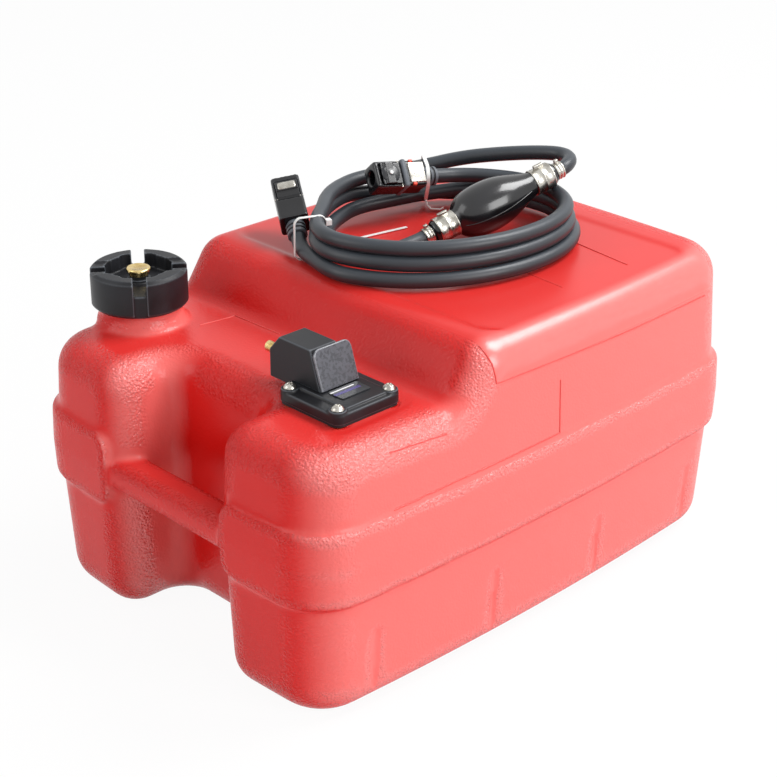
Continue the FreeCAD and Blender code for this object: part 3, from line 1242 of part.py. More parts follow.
def latch_pivot():
    return Vector(0, CONNECTOR_DEPTH / 2 - LATCH_PIVOT_DEPTH, FERRULE_LENGTH + LATCH_FOOT)


def pin_hole(radius, length):
    return cylinder(latch_pivot() - Vector(length / 2, 0, 0), Vector(1, 0, 0), radius, length)


def connector_latch():
    """Spring steel plate with a rolled eye round its pin and a raised thumb button."""
    pivot = latch_pivot()
    half = LATCH_WIDTH / 2
    low_y = CONNECTOR_DEPTH / 2 + LATCH_RISE - LATCH_THICKNESS
    high = Vector(half, low_y + LATCH_THICKNESS, pivot.z + LATCH_LENGTH - LATCH_GAP)
    plate = block(Vector(-half, low_y, pivot.z), high)
    eye = pin_hole(LATCH_PIN_R + LATCH_EYE, LATCH_WIDTH)
    button_z = pivot.z + LATCH_LENGTH - LATCH_BUTTON - 3
    button = block(
        Vector(-half, low_y, button_z),
        Vector(half, low_y + LATCH_THICKNESS + LATCH_BUTTON_RISE, button_z + LATCH_BUTTON),
    )
    tops = [e for e in button.Edges if e.BoundBox.XLength > 1 and e.BoundBox.YMin > low_y + LATCH_THICKNESS]
    button = button.makeFillet(LATCH_BUTTON_RISE * 0.8, tops)
    return plate.multiFuse([eye, button]).cut(pin_hole(LATCH_PIN_R + LATCH_PIN_GAP, LATCH_WIDTH + 1))


def connector_pieces():
    """The pieces of one hose connector, upright on its own axis, by name."""
    top = FERRULE_LENGTH + CONNECTOR_LENGTH
    ferrule = turned(
        [
            (0, FERRULE_R - FERRULE_LEAD_DROP), (FERRULE_LEAD, FERRULE_R),
            (FERRULE_LENGTH - FERRULE_TAPER, FERRULE_R), (FERRULE_LENGTH, FERRULE_R - FERRULE_TAPER_DROP),
        ],
        Vector(0, 0, 0), UP,
    )
    ferrule = ferrule.cut(cylinder(Vector(0, 0, 0), UP, FITTING_BORE_R, FERRULE_LENGTH))
    seal_z = top - SOCKET_DEPTH - SOCKET_SEAL_THICKNESS
    seal = ring(Vector(0, 0, seal_z), UP, SOCKET_SEAT_R, SOCKET_SEAL_R, SOCKET_SEAL_THICKNESS)
    return {
        "body": connector_body(),
        "latch": connector_latch(),
        "latch_pin": pin_hole(LATCH_PIN_R, CONNECTOR_WIDTH),
        "ferrule": ferrule,
        "seal": seal,
    }


def make_connectors():
    ends = {
        "tank_end": (TANK_END_ROUTE, TANK_LATCH_SIDE),
        "engine_end": (ENGINE_END_ROUTE, ENGINE_LATCH_SIDE),
    }
    for end, (route, latch_side) in ends.items():
        foot, next_point = on_deck(route)[:2]
        axis = foot.sub(next_point).normalize()
        placement = frame_at(foot, axis, latch_side)
        for piece, shape in connector_pieces().items():
            save(end + "_" + piece, placed(shape, placement))
        pivot = placement.multVec(latch_pivot())
        hinge = placement.Rotation.multVec(Vector(1, 0, 0))
        mouth = placement.multVec(Vector(0, 0, FERRULE_LENGTH + CONNECTOR_LENGTH))
        print(end, "latch pivot", tuple(pivot), "hinge", tuple(hinge))
        print(end, "mouth", tuple(mouth), "axis", tuple(axis))


# ---------------------------------------------------------------- cable ties
TIES = [
    (TIE_FRONT_DEG, TIE_FRONT_LOW_Z, TIE_FRONT_HIGH_Z, TIE_FRONT_INNER, TIE_FRONT_OUTER),
    (TIE_REAR_DEG, TIE_REAR_LOW_Z, TIE_REAR_HIGH_Z, TIE_REAR_INNER, TIE_REAR_OUTER),
]


def tie_band(tie, grow):
    """Flat band round the coil, square to it, grown by grow on every face."""
    _, low_z, high_z, near, far = tie
    inset = TIE_THICKNESS + grow
    side = TIE_WIDTH / 2 + grow
    outer = block(Vector(-near - inset, -side, low_z - inset), Vector(far + inset, side, high_z + inset))
    inner = block(Vector(-near + grow, -side - 1, low_z + grow), Vector(far - grow, side + 1, high_z - grow))
    outer = outer.makeFillet(TIE_LOOP_R + grow, [e for e in outer.Edges if e.BoundBox.YLength > 1])
    across = [e for e in inner.Edges if e.BoundBox.YLength > 1]
    inner = inner.makeFillet(TIE_LOOP_R - TIE_THICKNESS - grow, across)
    return outer.cut(inner)


def tie_placement(tie):
    return FreeCAD.Placement(coil_point(LOWER_COIL_KEYS, tie[0], 0, 0), FreeCAD.Rotation(UP, tie[0]))


def tie_space(tie):
    return placed(tie_band(tie, TIE_GAP), tie_placement(tie))


def tie_shape(tie, tail):
    """The band with its lock head on the inner side, and the tail that is left over."""
    _, low_z, high_z, near, _ = tie
    corner = Vector(-near - TIE_HEAD, -TIE_HEAD / 2, high_z - TIE_HEAD - TIE_WIDTH)
    loop = tie_band(tie, 0).fuse(Part.makeBox(TIE_HEAD, TIE_HEAD, TIE_HEAD, corner))
    placement = tie_placement(tie)
    root = placement.multVec(Vector(-near - TIE_THICKNESS / 2, 0, low_z + TIE_LOOP_R))
    return placed(loop, placement).fuse(strap([root] + on_deck(tail)))


def strap(points):
    """Flat tail of a tie, laid along straight runs."""
    runs = []
    for first, last in zip(points, points[1:]):
        run = last.sub(first)
        corner = Vector(0, -TIE_WIDTH / 2, -TIE_THICKNESS / 2)
        piece = Part.makeBox(run.Length, TIE_WIDTH, TIE_THICKNESS, corner)
        piece.Placement = FreeCAD.Placement(first, FreeCAD.Rotation(Vector(1, 0, 0), run))
        runs.append(piece)
    return runs[0].multiFuse(runs[1:])


def make_ties():
    save("cable_tie_front", tie_shape(TIES[0], TIE_FRONT_TAIL))
    save("cable_tie_rear", tie_shape(TIES[1], TIE_REAR_TAIL))


def main():
    os.makedirs("parts", exist_ok=True)
    make_tank_body()
    make_filler_cap()
    make_cap_gasket()
    make_vent()
    make_gauge_base()
    make_gauge_gasket()
    make_gauge_screws()
    make_gauge_hood()
    make_scale_plate()
    make_outlet()
    make_pick_up()
    make_bottom_bracket()
    make_strip_and_drum()
    make_float()
    make_bulb()
    make_bulb_fittings()
    make_clamps()
    make_hoses()
    make_connectors()
    make_ties()
    print("float travel", round(FLOAT_TRAVEL, 3), "twist deg per mm", round(TWIST_PER_MM, 5))
    print("bulb axis", tuple(BULB_AXIS), "span", round(BULB_SPAN, 2))


main()
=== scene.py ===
import json
import logging
import math
from dataclasses import dataclass
from enum import Enum

import bpy
from bpy.types import Material, Node, NodeSocket, NodeTree, Object
from mathutils import Matrix, Vector


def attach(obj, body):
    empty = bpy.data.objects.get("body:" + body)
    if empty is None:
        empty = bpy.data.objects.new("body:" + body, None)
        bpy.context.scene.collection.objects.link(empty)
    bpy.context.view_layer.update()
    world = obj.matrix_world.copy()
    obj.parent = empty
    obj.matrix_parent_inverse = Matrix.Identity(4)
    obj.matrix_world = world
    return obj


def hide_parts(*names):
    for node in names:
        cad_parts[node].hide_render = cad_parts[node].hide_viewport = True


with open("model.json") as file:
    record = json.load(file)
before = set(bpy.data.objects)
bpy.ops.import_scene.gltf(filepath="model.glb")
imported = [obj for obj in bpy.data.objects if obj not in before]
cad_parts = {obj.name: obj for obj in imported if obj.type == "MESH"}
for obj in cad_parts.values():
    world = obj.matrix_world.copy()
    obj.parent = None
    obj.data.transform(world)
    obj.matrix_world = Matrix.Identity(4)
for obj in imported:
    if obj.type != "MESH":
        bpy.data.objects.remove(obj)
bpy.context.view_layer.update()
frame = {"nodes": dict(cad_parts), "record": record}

LOG = logging.getLogger("fuel_tank")
MM = 0.001
# points nearer to each other than this become one
MERGE = 1e-6
# edges sharper than this stay sharp in the shading
SHARP_DEG = 38


class Slot(Enum):
    """Material slots of the record, one for each finish."""

    TANK = "tank_plastic"
    BLACK = "black_plastic"
    GLOSS = "black_gloss"
    LENS = "dark_lens"
    WHITE = "white_plastic"
    RUBBER = "rubber"
    HOSE = "hose_rubber"
    BULB = "bulb_rubber"
    STEEL = "steel"
    BRASS = "brass"
    ALUMINIUM = "aluminium"


# ---------------------------------------------------------------- shading tools
def linear(code: str) -> tuple:
    """Turns an sRGB hex colour into linear light.

    Args:
        code: six hex digits after a hash.

    Returns:
        Red, green, blue and an alpha of one.
    """
    channels = [int(code[i:i + 2], 16) / 255 for i in (1, 3, 5)]
    light = [c / 12.92 if c <= 0.04045 else ((c + 0.055) / 1.055) ** 2.4 for c in channels]
    return (*light, 1.0)


def add_node(tree: NodeTree, kind: str, settings: dict | None = None,
             links: dict | None = None) -> Node:
    """Adds one shader node.

    Args:
        tree: the node tree.
        kind: the node's type name.
        settings: values for the node's properties or, by name or number, its sockets.
        links: the output that feeds each socket.

    Returns:
        The new node.
    """
    node = tree.nodes.new(kind)
    for name, value in (settings or {}).items():
        if isinstance(name, int) or name in node.inputs:
            node.inputs[name].default_value = value
        else:
            setattr(node, name, value)
    for name, source in (links or {}).items():
        tree.links.new(source, node.inputs[name])
    return node


class Net:
    """The nodes of one material while it is being made."""

    def __init__(self, material: Material, cloud_mm: float) -> None:
        """Starts with the place on the piece and soft clouds over it.

        Args:
            material: the new material.
            cloud_mm: width of one cloud.
        """
        material.use_nodes = True
        self.tree = material.node_tree
        self.tree.nodes.clear()
        self.where = self.add("ShaderNodeTexCoord").outputs["Object"]
        self.cloud = self.noise(self.where, cloud_mm, detail=3.0)

    def add(self, kind: str, settings: dict | None = None, links: dict | None = None) -> Node:
        """Adds one node to this material."""
        return add_node(self.tree, kind, settings, links)

    def noise(self, where: NodeSocket, width_mm: float, detail: float) -> NodeSocket:
        """Adds noise whose lumps are a given width."""
        settings = {"Scale": 1 / (width_mm * MM), "Detail": detail}
        return self.add("ShaderNodeTexNoise", settings, {"Vector": where}).outputs["Fac"]

    def ramp(self, value: NodeSocket, span: tuple, low: float = 0.0,
             high: float = 1.0) -> NodeSocket:
        """Turns one range of a value smoothly into another.

        Args:
            value: the value.
            span: where it starts and ends to change.
            low: what its start becomes.
            high: what its end becomes.

        Returns:
            The new value.
        """
        settings = {"interpolation_type": "SMOOTHSTEP", "From Min": span[0],
                    "From Max": span[1], "To Min": low, "To Max": high}
        return self.add("ShaderNodeMapRange", settings, {"Value": value}).outputs[0]

    def blend(self, share: NodeSocket, first: str | NodeSocket,
              second: str | NodeSocket) -> NodeSocket:
        """Mixes two colours.

        Args:
            share: how much of the second is seen.
            first: a hex code or an output.
            second: the same.

        Returns:
            The mixed colour.
        """
        settings, links = {"data_type": "RGBA"}, {0: share}
        for number, colour in ((6, first), (7, second)):
            if isinstance(colour, str):
                settings[number] = linear(colour)
            else:
                links[number] = colour
        return self.add("ShaderNodeMix", settings, links).outputs[2]

    def product(self, first: NodeSocket, second: NodeSocket) -> NodeSocket:
        """Multiplies two values."""
        node = self.add("ShaderNodeMath", {"operation": "MULTIPLY"}, {0: first, 1: second})
        return node.outputs[0]

    def split(self, vector: NodeSocket) -> tuple:
        """Gives the three parts of a vector."""
        return tuple(self.add("ShaderNodeSeparateXYZ", None, {0: vector}).outputs)

    def facing(self, direction: tuple) -> NodeSocket:
        """Says how squarely the skin faces a direction.

        Args:
            direction: the direction.

        Returns:
            One where it does so, and less where it turns away.
        """
        normal = {0: self.add("ShaderNodeTexCoord").outputs["Normal"]}
        settings = {"operation": "DOT_PRODUCT", 1: direction}
        return self.add("ShaderNodeVectorMath", settings, normal).outputs["Value"]

    def curvature(self) -> NodeSocket:
        """Gives a half on flat skin and more on an outer edge."""
        return self.add("ShaderNodeNewGeometry").outputs["Pointiness"]


@dataclass(frozen=True)
class Finish:
    """A real material and how its surface was made.

    Attributes:
        name: the material's name.
        colour: its main colour.
        shade: the second colour of its cloudy variation.
        roughness: lowest and highest roughness over the surface.
        metallic: one on bare metal.
        ior: refraction of its skin.
        grain_mm: width of one grain of the surface.
        grain_depth_mm: height of that grain.
        cloud_mm: width of the cloudy variation.
        coat: weight of a clear glossy skin.
        edge_wear_and_highlight: the paler colour of the edges, partly rubbed wear and partly a
            painted highlight.
        edge_wear_and_highlight_share: how much of it the edges show.
        specular: how strongly its skin reflects.
        tint_span: values of the clouds between which the colour turns.
        gloss_span: the same for the roughness.
        edge_span: curvature at which an edge starts to turn paler, and is fully paler.
        relief_share: share of the grain's height that shows.
    """

    name: str
    colour: str
    shade: str
    roughness: tuple = (0.35, 0.5)
    metallic: float = 0.0
    ior: float = 1.5
    grain_mm: float = 1.2
    grain_depth_mm: float = 0.03
    cloud_mm: float = 30.0
    coat: float = 0.0
    edge_wear_and_highlight: str = "#8a8d92"
    edge_wear_and_highlight_share: float = 0.0
    specular: float = 0.5
    tint_span: tuple = (0.36, 0.64)
    gloss_span: tuple = (0.3, 0.7)
    edge_span: tuple = (0.505, 0.56)
    relief_share: float = 0.6

    def build(self) -> Material:
        """Makes the material.

        Returns:
            The material, with its colour, roughness and relief.
        """
        material = bpy.data.materials.new(self.name)
        net = Net(material, self.cloud_mm)
        links = {"Base Color": self.tint(net), "Roughness": self.gloss(net),
                 "Normal": self.relief(net), **self.more_links(net)}
        shader = net.add("ShaderNodeBsdfPrincipled", self.sockets(), links)
        net.add("ShaderNodeOutputMaterial", None, {"Surface": shader.outputs[0]})
        return material

    def sockets(self) -> dict:
        """Gives the shader's values that are the same all over."""
        return {"Metallic": self.metallic, "IOR": self.ior, "Coat Weight": self.coat,
                "Specular IOR Level": self.specular}

    def more_links(self, net: Net) -> dict:
        """Gives the shader's further values that change over the surface."""
        return {}

    def tint(self, net: Net) -> NodeSocket:
        """Gives the colour: cloudy, and paler along the edges, partly rubbed wear and partly a
        painted highlight.

        Args:
            net: the material's nodes.

        Returns:
            The colour.
        """
        plain = net.blend(net.ramp(net.cloud, self.tint_span), self.colour, self.shade)
        if not self.edge_wear_and_highlight_share:
            return plain
        # paler edges: partly rubbed wear, partly a painted highlight
        edge_wear_and_highlight_mask = net.ramp(net.curvature(), self.edge_span, 0.0, self.edge_wear_and_highlight_share)
        return net.blend(edge_wear_and_highlight_mask, plain, self.edge_wear_and_highlight)

    def gloss(self, net: Net) -> NodeSocket:
        """Gives the roughness, which follows the clouds."""
        return net.ramp(net.cloud, self.gloss_span, *self.roughness)

    def relief(self, net: Net) -> NodeSocket:
        """Gives the small relief of the surface.

        Args:
            net: the material's nodes.

        Returns:
            The skin's direction.
        """
        grain = net.noise(net.where, self.grain_mm, detail=2.0)
        settings = {"Strength": self.relief_share, "Distance": self.grain_depth_mm * MM}
        return net.add("ShaderNodeBump", settings, {"Height": grain}).outputs[0]


@dataclass(frozen=True)
class MouldedPolyethylene(Finish):
    """Red blow-moulded polyethylene: a pebbled skin with one polished field on the deck.

    Attributes:
        field_y: where the polished field begins and ends.
        field_z: height above which it lies, a little below the deck's shoulder.
        field_edge_mm: how softly it ends.
        polished_relief: share of the pebbles left in it.
        pebble_mm: width of one pebble of the mould's etched grain.
        pebble_depth_mm: its height.
        pebble_softness: how far the pebbles run into each other.
        fine_share: share of a finer grain in their height.
        flat_relief: share of that height left on the flat faces, where the mould is worn.
        fresh_span: curvature at which the mould's grain starts to be fresh, and is fresh.
        glint: how strongly the fresh pebbles reflect.
        lit_direction: the side that the lamps light most, where the skin is painted paler and
            reflects more.
        lit_span: how squarely skin faces it that starts to take the painted light, and that takes
            it fully.
        painted_light_colour: the paler red painted there, standing in for light.
        painted_light_share: how much of it shows.
    """

    field_y: tuple = (-0.062, 0.2)
    field_z: float = 0.2175
    field_edge_mm: float = 2.0
    polished_relief: float = 0.04
    pebble_mm: float = 2.0
    pebble_depth_mm: float = 1.9
    pebble_softness: float = 0.5
    fine_share: float = 0.4
    flat_relief: float = 0.13
    fresh_span: tuple = (0.5003, 0.508)
    glint: float = 0.8
    lit_direction: tuple = (0.9, 0.0, 0.43)
    lit_span: tuple = (0.25, 0.95)
    painted_light_colour: str = "#f07c77"
    painted_light_share: float = 0.74

    def sockets(self) -> dict:
        """Gives the values of a slightly translucent plastic."""
        return {"IOR": self.ior, "Subsurface Weight": 0.12,
                "Subsurface Radius": (0.004, 0.0008, 0.0006)}

    def more_links(self, net: Net) -> dict:
        """Gives the reflection, strong where a rounded edge faces the lit side."""
        share = net.product(self.fresh(net, 0.0), self.facing_light(net, 1.0))
        return {"Specular IOR Level": net.ramp(share, (0.0, 1.0), self.specular, self.glint)}

    def fresh(self, net: Net, flat: float) -> NodeSocket:
        """Gives one on the rounded edges and a chosen value on the flat faces."""
        return net.ramp(net.curvature(), self.fresh_span, flat, 1.0)

    def facing_light(self, net: Net, most: float) -> NodeSocket:
        """Gives nought where the skin turns from the lit side and a chosen value where it faces
        it.
        """
        return net.ramp(net.facing(self.lit_direction), self.lit_span, 0.0, most)

    def polished(self, net: Net, outside: float, inside: float) -> NodeSocket:
        """Gives one value inside the polished field and another outside.

        Args:
            net: the material's nodes.
            outside: the value outside.
            inside: the value inside.

        Returns:
            The value, which changes softly along the field's edge.
        """
        _, along, height = net.split(net.where)
        (near, far), soft = self.field_y, self.field_edge_mm * MM
        factors = (net.ramp(along, (near - soft, near + soft)),
                   net.ramp(along, (far + soft, far - soft)),
                   net.ramp(height, (self.field_z - soft / 2, self.field_z + soft / 2)))
        share = net.product(net.product(*factors[:2]), factors[2])
        return net.ramp(share, (0.0, 1.0), outside, inside)

    def tint(self, net: Net) -> NodeSocket:
        """Gives the red, with painted light: paler where the skin faces the lit side."""
        plain = net.blend(net.cloud, self.colour, self.shade)
        # painted light: the skin that faces the lit side is painted a paler red
        return net.blend(self.facing_light(net, self.painted_light_share), plain, self.painted_light_colour)

    def gloss(self, net: Net) -> NodeSocket:
        """Gives the roughness: one value in the polished field, another on the pebbles."""
        return self.polished(net, self.roughness[1], self.roughness[0])

    def relief(self, net: Net) -> NodeSocket:
        """Gives the pebbles, which fade out in the polished field.

        Args:
            net: the material's nodes.

        Returns:
            The skin's direction.
        """
        settings = {"feature": "SMOOTH_F1", "Scale": 1 / (self.pebble_mm * MM),
                    "Smoothness": self.pebble_softness, "Randomness": 1.0}
        pebble = net.add("ShaderNodeTexVoronoi", settings, {"Vector": net.where})
        fine = net.noise(net.where, self.grain_mm, detail=3.0)
        height = net.add("ShaderNodeMix", {"data_type": "FLOAT", 0: self.fine_share},
                         {2: pebble.outputs["Distance"], 3: fine}).outputs[0]
        strength = net.product(self.fresh(net, self.flat_relief),
                               self.polished(net, 1.0, self.polished_relief))
        return net.add("ShaderNodeBump", {"Distance": self.pebble_depth_mm * MM},
                       {"Height": height, "Strength": strength}).outputs[0]


@dataclass(frozen=True)
class WorkedMetal(Finish):
    """Bare metal with the fine lines that a tool or a polishing belt leaves.

    Attributes:
        line_mm: spacing of the lines.
        line_stretch: how many times longer than wide they are.
        line_turn: how they are turned, in radians.
    """

    line_mm: float = 0.35
    line_stretch: float = 14.0
    line_turn: tuple = (0.5, 0.3, 0.8)

    def gloss(self, net: Net) -> NodeSocket:
        """Gives the roughness, streaked along the lines.

        Args:
            net: the material's nodes.

        Returns:
            The roughness.
        """
        settings = {"Rotation": self.line_turn, "Scale": (1.0, self.line_stretch, 1.0)}
        along = net.add("ShaderNodeMapping", settings, {"Vector": net.where}).outputs[0]
        streaks = net.noise(along, self.line_mm * self.line_stretch, detail=4.0)
        return net.ramp(streaks, self.gloss_span, *self.roughness)


@dataclass(frozen=True)
class ExtrudedRubber(Finish):
    """Extruded hose rubber, paler where it faces up: partly dust and partly a painted sheen from
    the light above.

    Attributes:
        dust_and_sheen: the paler colour of the upper side, partly dust and partly a painted
            sheen.
        dust_and_sheen_share: how much of it the upper side shows.
        dust_and_sheen_span: how far skin faces up that starts to show it, and that shows it
            fully.
    """

    dust_and_sheen: str = "#4a5159"
    dust_and_sheen_share: float = 0.4
    dust_and_sheen_span: tuple = (0.1, 1.0)

    def tint(self, net: Net) -> NodeSocket:
        """Gives the colour, paler on the upper side with dust and a painted sheen.

        Args:
            net: the material's nodes.

        Returns:
            The colour.
        """
        plain = net.blend(net.cloud, self.colour, self.shade)
        dust_and_sheen_mask = net.ramp(net.facing((0, 0, 1)), self.dust_and_sheen_span, 0.0, self.dust_and_sheen_share)
        # upper side paler: partly dust, partly a painted sheen where light falls from above
        return net.blend(dust_and_sheen_mask, plain, self.dust_and_sheen)


FINISHES = {
    # blow-moulded high-density polyethylene: etched pebbles that glint along the shoulders;
    # painted light makes the skin paler where it faces the lit side
    Slot.TANK: MouldedPolyethylene("red_moulded_polyethylene", "#da1b17", "#cf1512",
                                   roughness=(0.28, 0.25), ior=1.51, cloud_mm=80.0,
                                   specular=0.25),
    # injection-moulded glass-filled nylon: dull black, greyer on its edges, partly from wear and
    # partly as a painted highlight
    Slot.BLACK: Finish("black_moulded_nylon", "#17171a", "#202125", (0.36, 0.5), grain_mm=0.7,
                       grain_depth_mm=0.06, edge_wear_and_highlight="#6e737a", edge_wear_and_highlight_share=0.75, specular=0.3),
    # polished acetal: black with sharp small highlights, its edges greyer, partly from wear and
    # partly as a painted highlight
    Slot.GLOSS: Finish("black_polished_acetal", "#0d0d10", "#151518", (0.2, 0.3), grain_mm=1.5,
                       grain_depth_mm=0.012, edge_wear_and_highlight="#4a4d52", edge_wear_and_highlight_share=0.4),
    # smoked polycarbonate: a cloudy grey plate whose rim is painted bright as a highlight
    Slot.LENS: Finish("smoked_polycarbonate", "#3a3b41", "#4f5058", (0.22, 0.36), grain_mm=2.0,
                      grain_depth_mm=0.02, cloud_mm=2.4, ior=1.58, coat=0.3, edge_wear_and_highlight="#b4b6be",
                      edge_wear_and_highlight_share=0.6),
    # moulded nylon: milky white
    Slot.WHITE: Finish("natural_nylon", "#f0f1ef", "#e6e8e6", (0.3, 0.4), grain_mm=1.5),
    # moulded nitrile rubber: flat black
    Slot.RUBBER: Finish("black_nitrile_rubber", "#17181a", "#202124", (0.5, 0.62), grain_mm=0.7),
    # extruded fuel hose: dark blue-grey, paler along its top, partly dust and partly a painted
    # sheen
    Slot.HOSE: ExtrudedRubber("extruded_hose_rubber", "#26292d", "#2e3136", (0.34, 0.44),
                              grain_mm=0.9, grain_depth_mm=0.05, cloud_mm=45.0,
                              specular=0.4),
    # glossy moulded rubber: near black with one long highlight
    Slot.BULB: Finish("glossy_bulb_rubber", "#101012", "#18181b", (0.16, 0.24), grain_mm=2.5,
                      grain_depth_mm=0.03, coat=0.25),
    # zinc-plated sheet steel: bright, slightly warm, finely streaked
    Slot.STEEL: WorkedMetal("zinc_plated_steel", "#cbc8c0", "#a5a199", (0.2, 0.36), 1.0,
                            grain_mm=0.6, grain_depth_mm=0.02, cloud_mm=9.0),
    # turned brass: pale yellow with tool lines
    Slot.BRASS: WorkedMetal("turned_brass", "#dcc48a", "#c2a566", (0.2, 0.34), 1.0,
                            grain_mm=0.5, grain_depth_mm=0.015, cloud_mm=8.0),
    # drawn aluminium tube: silver with lines along it
    Slot.ALUMINIUM: WorkedMetal("drawn_aluminium", "#c4c6c8", "#aeb0b3", (0.25, 0.35), 1.0,
                                grain_mm=0.6, grain_depth_mm=0.02, cloud_mm=15.0),
}

# moulded coloured plastic of small marks: plain, half glossy
MARK_FINISHES = {
    "orange": Finish("orange_moulded_nylon", "#e2462a", "#d23c22", (0.35, 0.45)),
    "red": Finish("red_moulded_line", "#e0443f", "#d93a36", (0.28, 0.4)),
    "violet": Finish("violet_printed_ink", "#4b4478", "#57508a", (0.35, 0.45)),
    "white": Finish("white_printed_ink", "#f2f2f2", "#e6e6ea", (0.35, 0.45)),
}


# ---------------------------------------------------------------- modelling tools
def deselect_all() -> None:
    """Leaves edit mode and deselects every object."""
    if bpy.context.object and bpy.context.object.mode != "OBJECT":
        bpy.ops.object.mode_set(mode="OBJECT")
    bpy.ops.object.select_all(action="DESELECT")


def activate(*pieces: Object) -> None:
    """Makes these pieces the only selected ones, and the first of them active.

    Args:
        pieces: the pieces.
    """
    deselect_all()
    for piece in pieces:
        piece.select_set(True)
    bpy.context.view_layer.objects.active = pieces[0]


def edit(piece: Object) -> None:
    """Opens a piece in edit mode with all of it selected.

    Args:
        piece: the mesh.
    """
    activate(piece)
    bpy.ops.object.mode_set(mode="EDIT")
    bpy.ops.mesh.select_all(action="SELECT")


def close_edit() -> None:
    """Goes back to object mode."""
    bpy.ops.object.mode_set(mode="OBJECT")


def apply_modifier(piece: Object, kind: str, **settings: object) -> None:
    """Adds a modifier, sets it and applies it.

    Args:
        piece: the mesh that it works on.
        kind: the modifier's type.
        settings: values of its properties.
    """
    modifier = piece.modifiers.new(kind.lower(), kind)
    for name, value in settings.items():
        setattr(modifier, name, value)
    activate(piece)
    bpy.ops.object.modifier_apply(modifier=modifier.name)


def put(piece: Object, matrix: Matrix) -> Object:
    """Moves a piece's mesh to its place and leaves the object at the origin.

    Args:
        piece: the piece, made at the origin.
        matrix: its place.

    Returns:
        The same piece.
    """
    piece.matrix_world = matrix
    activate(piece)
    bpy.ops.object.transform_apply(location=True, rotation=True, scale=True)
    return piece


def joined(name: str, pieces: list) -> Object:
    """Makes several meshes one piece.

    Args:
        name: the piece's name.
        pieces: the meshes.

    Returns:
        The piece.
    """
    activate(*pieces)
    if len(pieces) > 1:
        bpy.ops.object.join()
    piece = bpy.context.object
    piece.name = name
    return piece


def millimetres(points: tuple) -> list:
    """Turns places in millimetres into vectors in metres."""
    return [MM * Vector(point) for point in points]


def cad_copy(node: str, name: str) -> Object:
    """Copies a CAD node's mesh into a new piece and merges its loose triangles.

    Args:
        node: the CAD node.
        name: the piece's name.

    Returns:
        The new piece.
    """
    piece = frame["nodes"][node].copy()
    piece.data = frame["nodes"][node].data.copy()
    piece.name = name
    for key in list(piece.keys()):
        del piece[key]
    piece.parent = None
    piece.matrix_world = Matrix.Identity(4)
    bpy.context.scene.collection.objects.link(piece)
    edit(piece)
    bpy.ops.mesh.remove_doubles(threshold=MERGE)
    close_edit()
    return piece


def softened(node: str, name: str, voxel_mm: float, rounds: int = 4) -> Object:
    """Gives a moulded piece the rounded edges that its mould leaves.

    Args:
        node: the CAD node whose form it has.
        name: the new piece's name.
        voxel_mm: size of the smallest detail that stays.
        rounds: how often the edges are smoothed.

    Returns:
        The new piece.
    """
    piece = cad_copy(node, name)
    apply_modifier(piece, "REMESH", mode="VOXEL", voxel_size=voxel_mm * MM, use_smooth_shade=True)
    edit(piece)
    bpy.ops.mesh.vertices_smooth(factor=0.5, repeat=rounds)
    close_edit()
    return piece


def outline(name: str, points: list) -> Object:
    """Draws a chain of edges through points, from one vertex drawn out step by step.

    Args:
        name: the piece's name.
        points: its corners, in metres.

    Returns:
        The new piece.
    """
    deselect_all()
    bpy.ops.mesh.primitive_plane_add(size=MM, location=(0, 0, 0))
    piece = bpy.context.object
    piece.name = name
    edit(piece)
    bpy.ops.mesh.merge(type="CENTER")
    bpy.ops.transform.translate(value=Vector(points[0]))
    for before, after in zip(points, points[1:]):
        step = Vector(after) - Vector(before)
        bpy.ops.mesh.extrude_region_move(TRANSFORM_OT_translate={"value": step})
    close_edit()
    return piece


def clean() -> None:
    """Merges the open mesh's doubled points and turns its faces outward."""
    bpy.ops.mesh.select_all(action="SELECT")
    bpy.ops.mesh.remove_doubles(threshold=MERGE)
    bpy.ops.mesh.normals_make_consistent(inside=False)
    close_edit()


def turned(name: str, profile: list, steps: int = 64) -> Object:
    """Turns a closed piece round the Z axis.

    Args:
        name: the piece's name.
        profile: radius and height of each corner of its outline, in millimetres.
        steps: how many faces go round it.

    Returns:
        The new piece, upright at the origin.
    """
    piece = outline(name, [(radius * MM, 0.0, height * MM) for radius, height in profile])
    edit(piece)
    bpy.ops.mesh.spin(steps=steps, angle=2 * math.pi, center=(0, 0, 0), axis=(0, 0, 1))
    clean()
    return piece


def rounded_block(name: str, low: tuple, high: tuple, edge_mm: float) -> Object:
    """Makes a block with rounded edges.

    Args:
        name: the piece's name.
        low: its lowest corner, in millimetres.
        high: its highest corner.
        edge_mm: radius of its edges.

    Returns:
        The new piece.
    """
    low_corner, high_corner = millimetres((low, high))
    deselect_all()
    bpy.ops.mesh.primitive_cube_add(size=1.0, location=(low_corner + high_corner) / 2)
    piece = bpy.context.object
    piece.name = name
    piece.scale = high_corner - low_corner
    bpy.ops.object.transform_apply(location=True, rotation=True, scale=True)
    edit(piece)
    bpy.ops.mesh.bevel(offset=edge_mm * MM, segments=3, affect="EDGES")
    close_edit()
    return piece


def ribbed(piece: Object, radius_mm: float) -> Object:
    """Turns a chain of edges into a round bead along it.

    Args:
        piece: the chain.
        radius_mm: radius of the bead.

    Returns:
        The bead's mesh.
    """
    activate(piece)
    bpy.ops.object.convert(target="CURVE")
    piece = bpy.context.object
    piece.data.bevel_depth = radius_mm * MM
    piece.data.bevel_resolution = 3
    piece.data.use_fill_caps = True
    bpy.ops.object.convert(target="MESH")
    return bpy.context.object


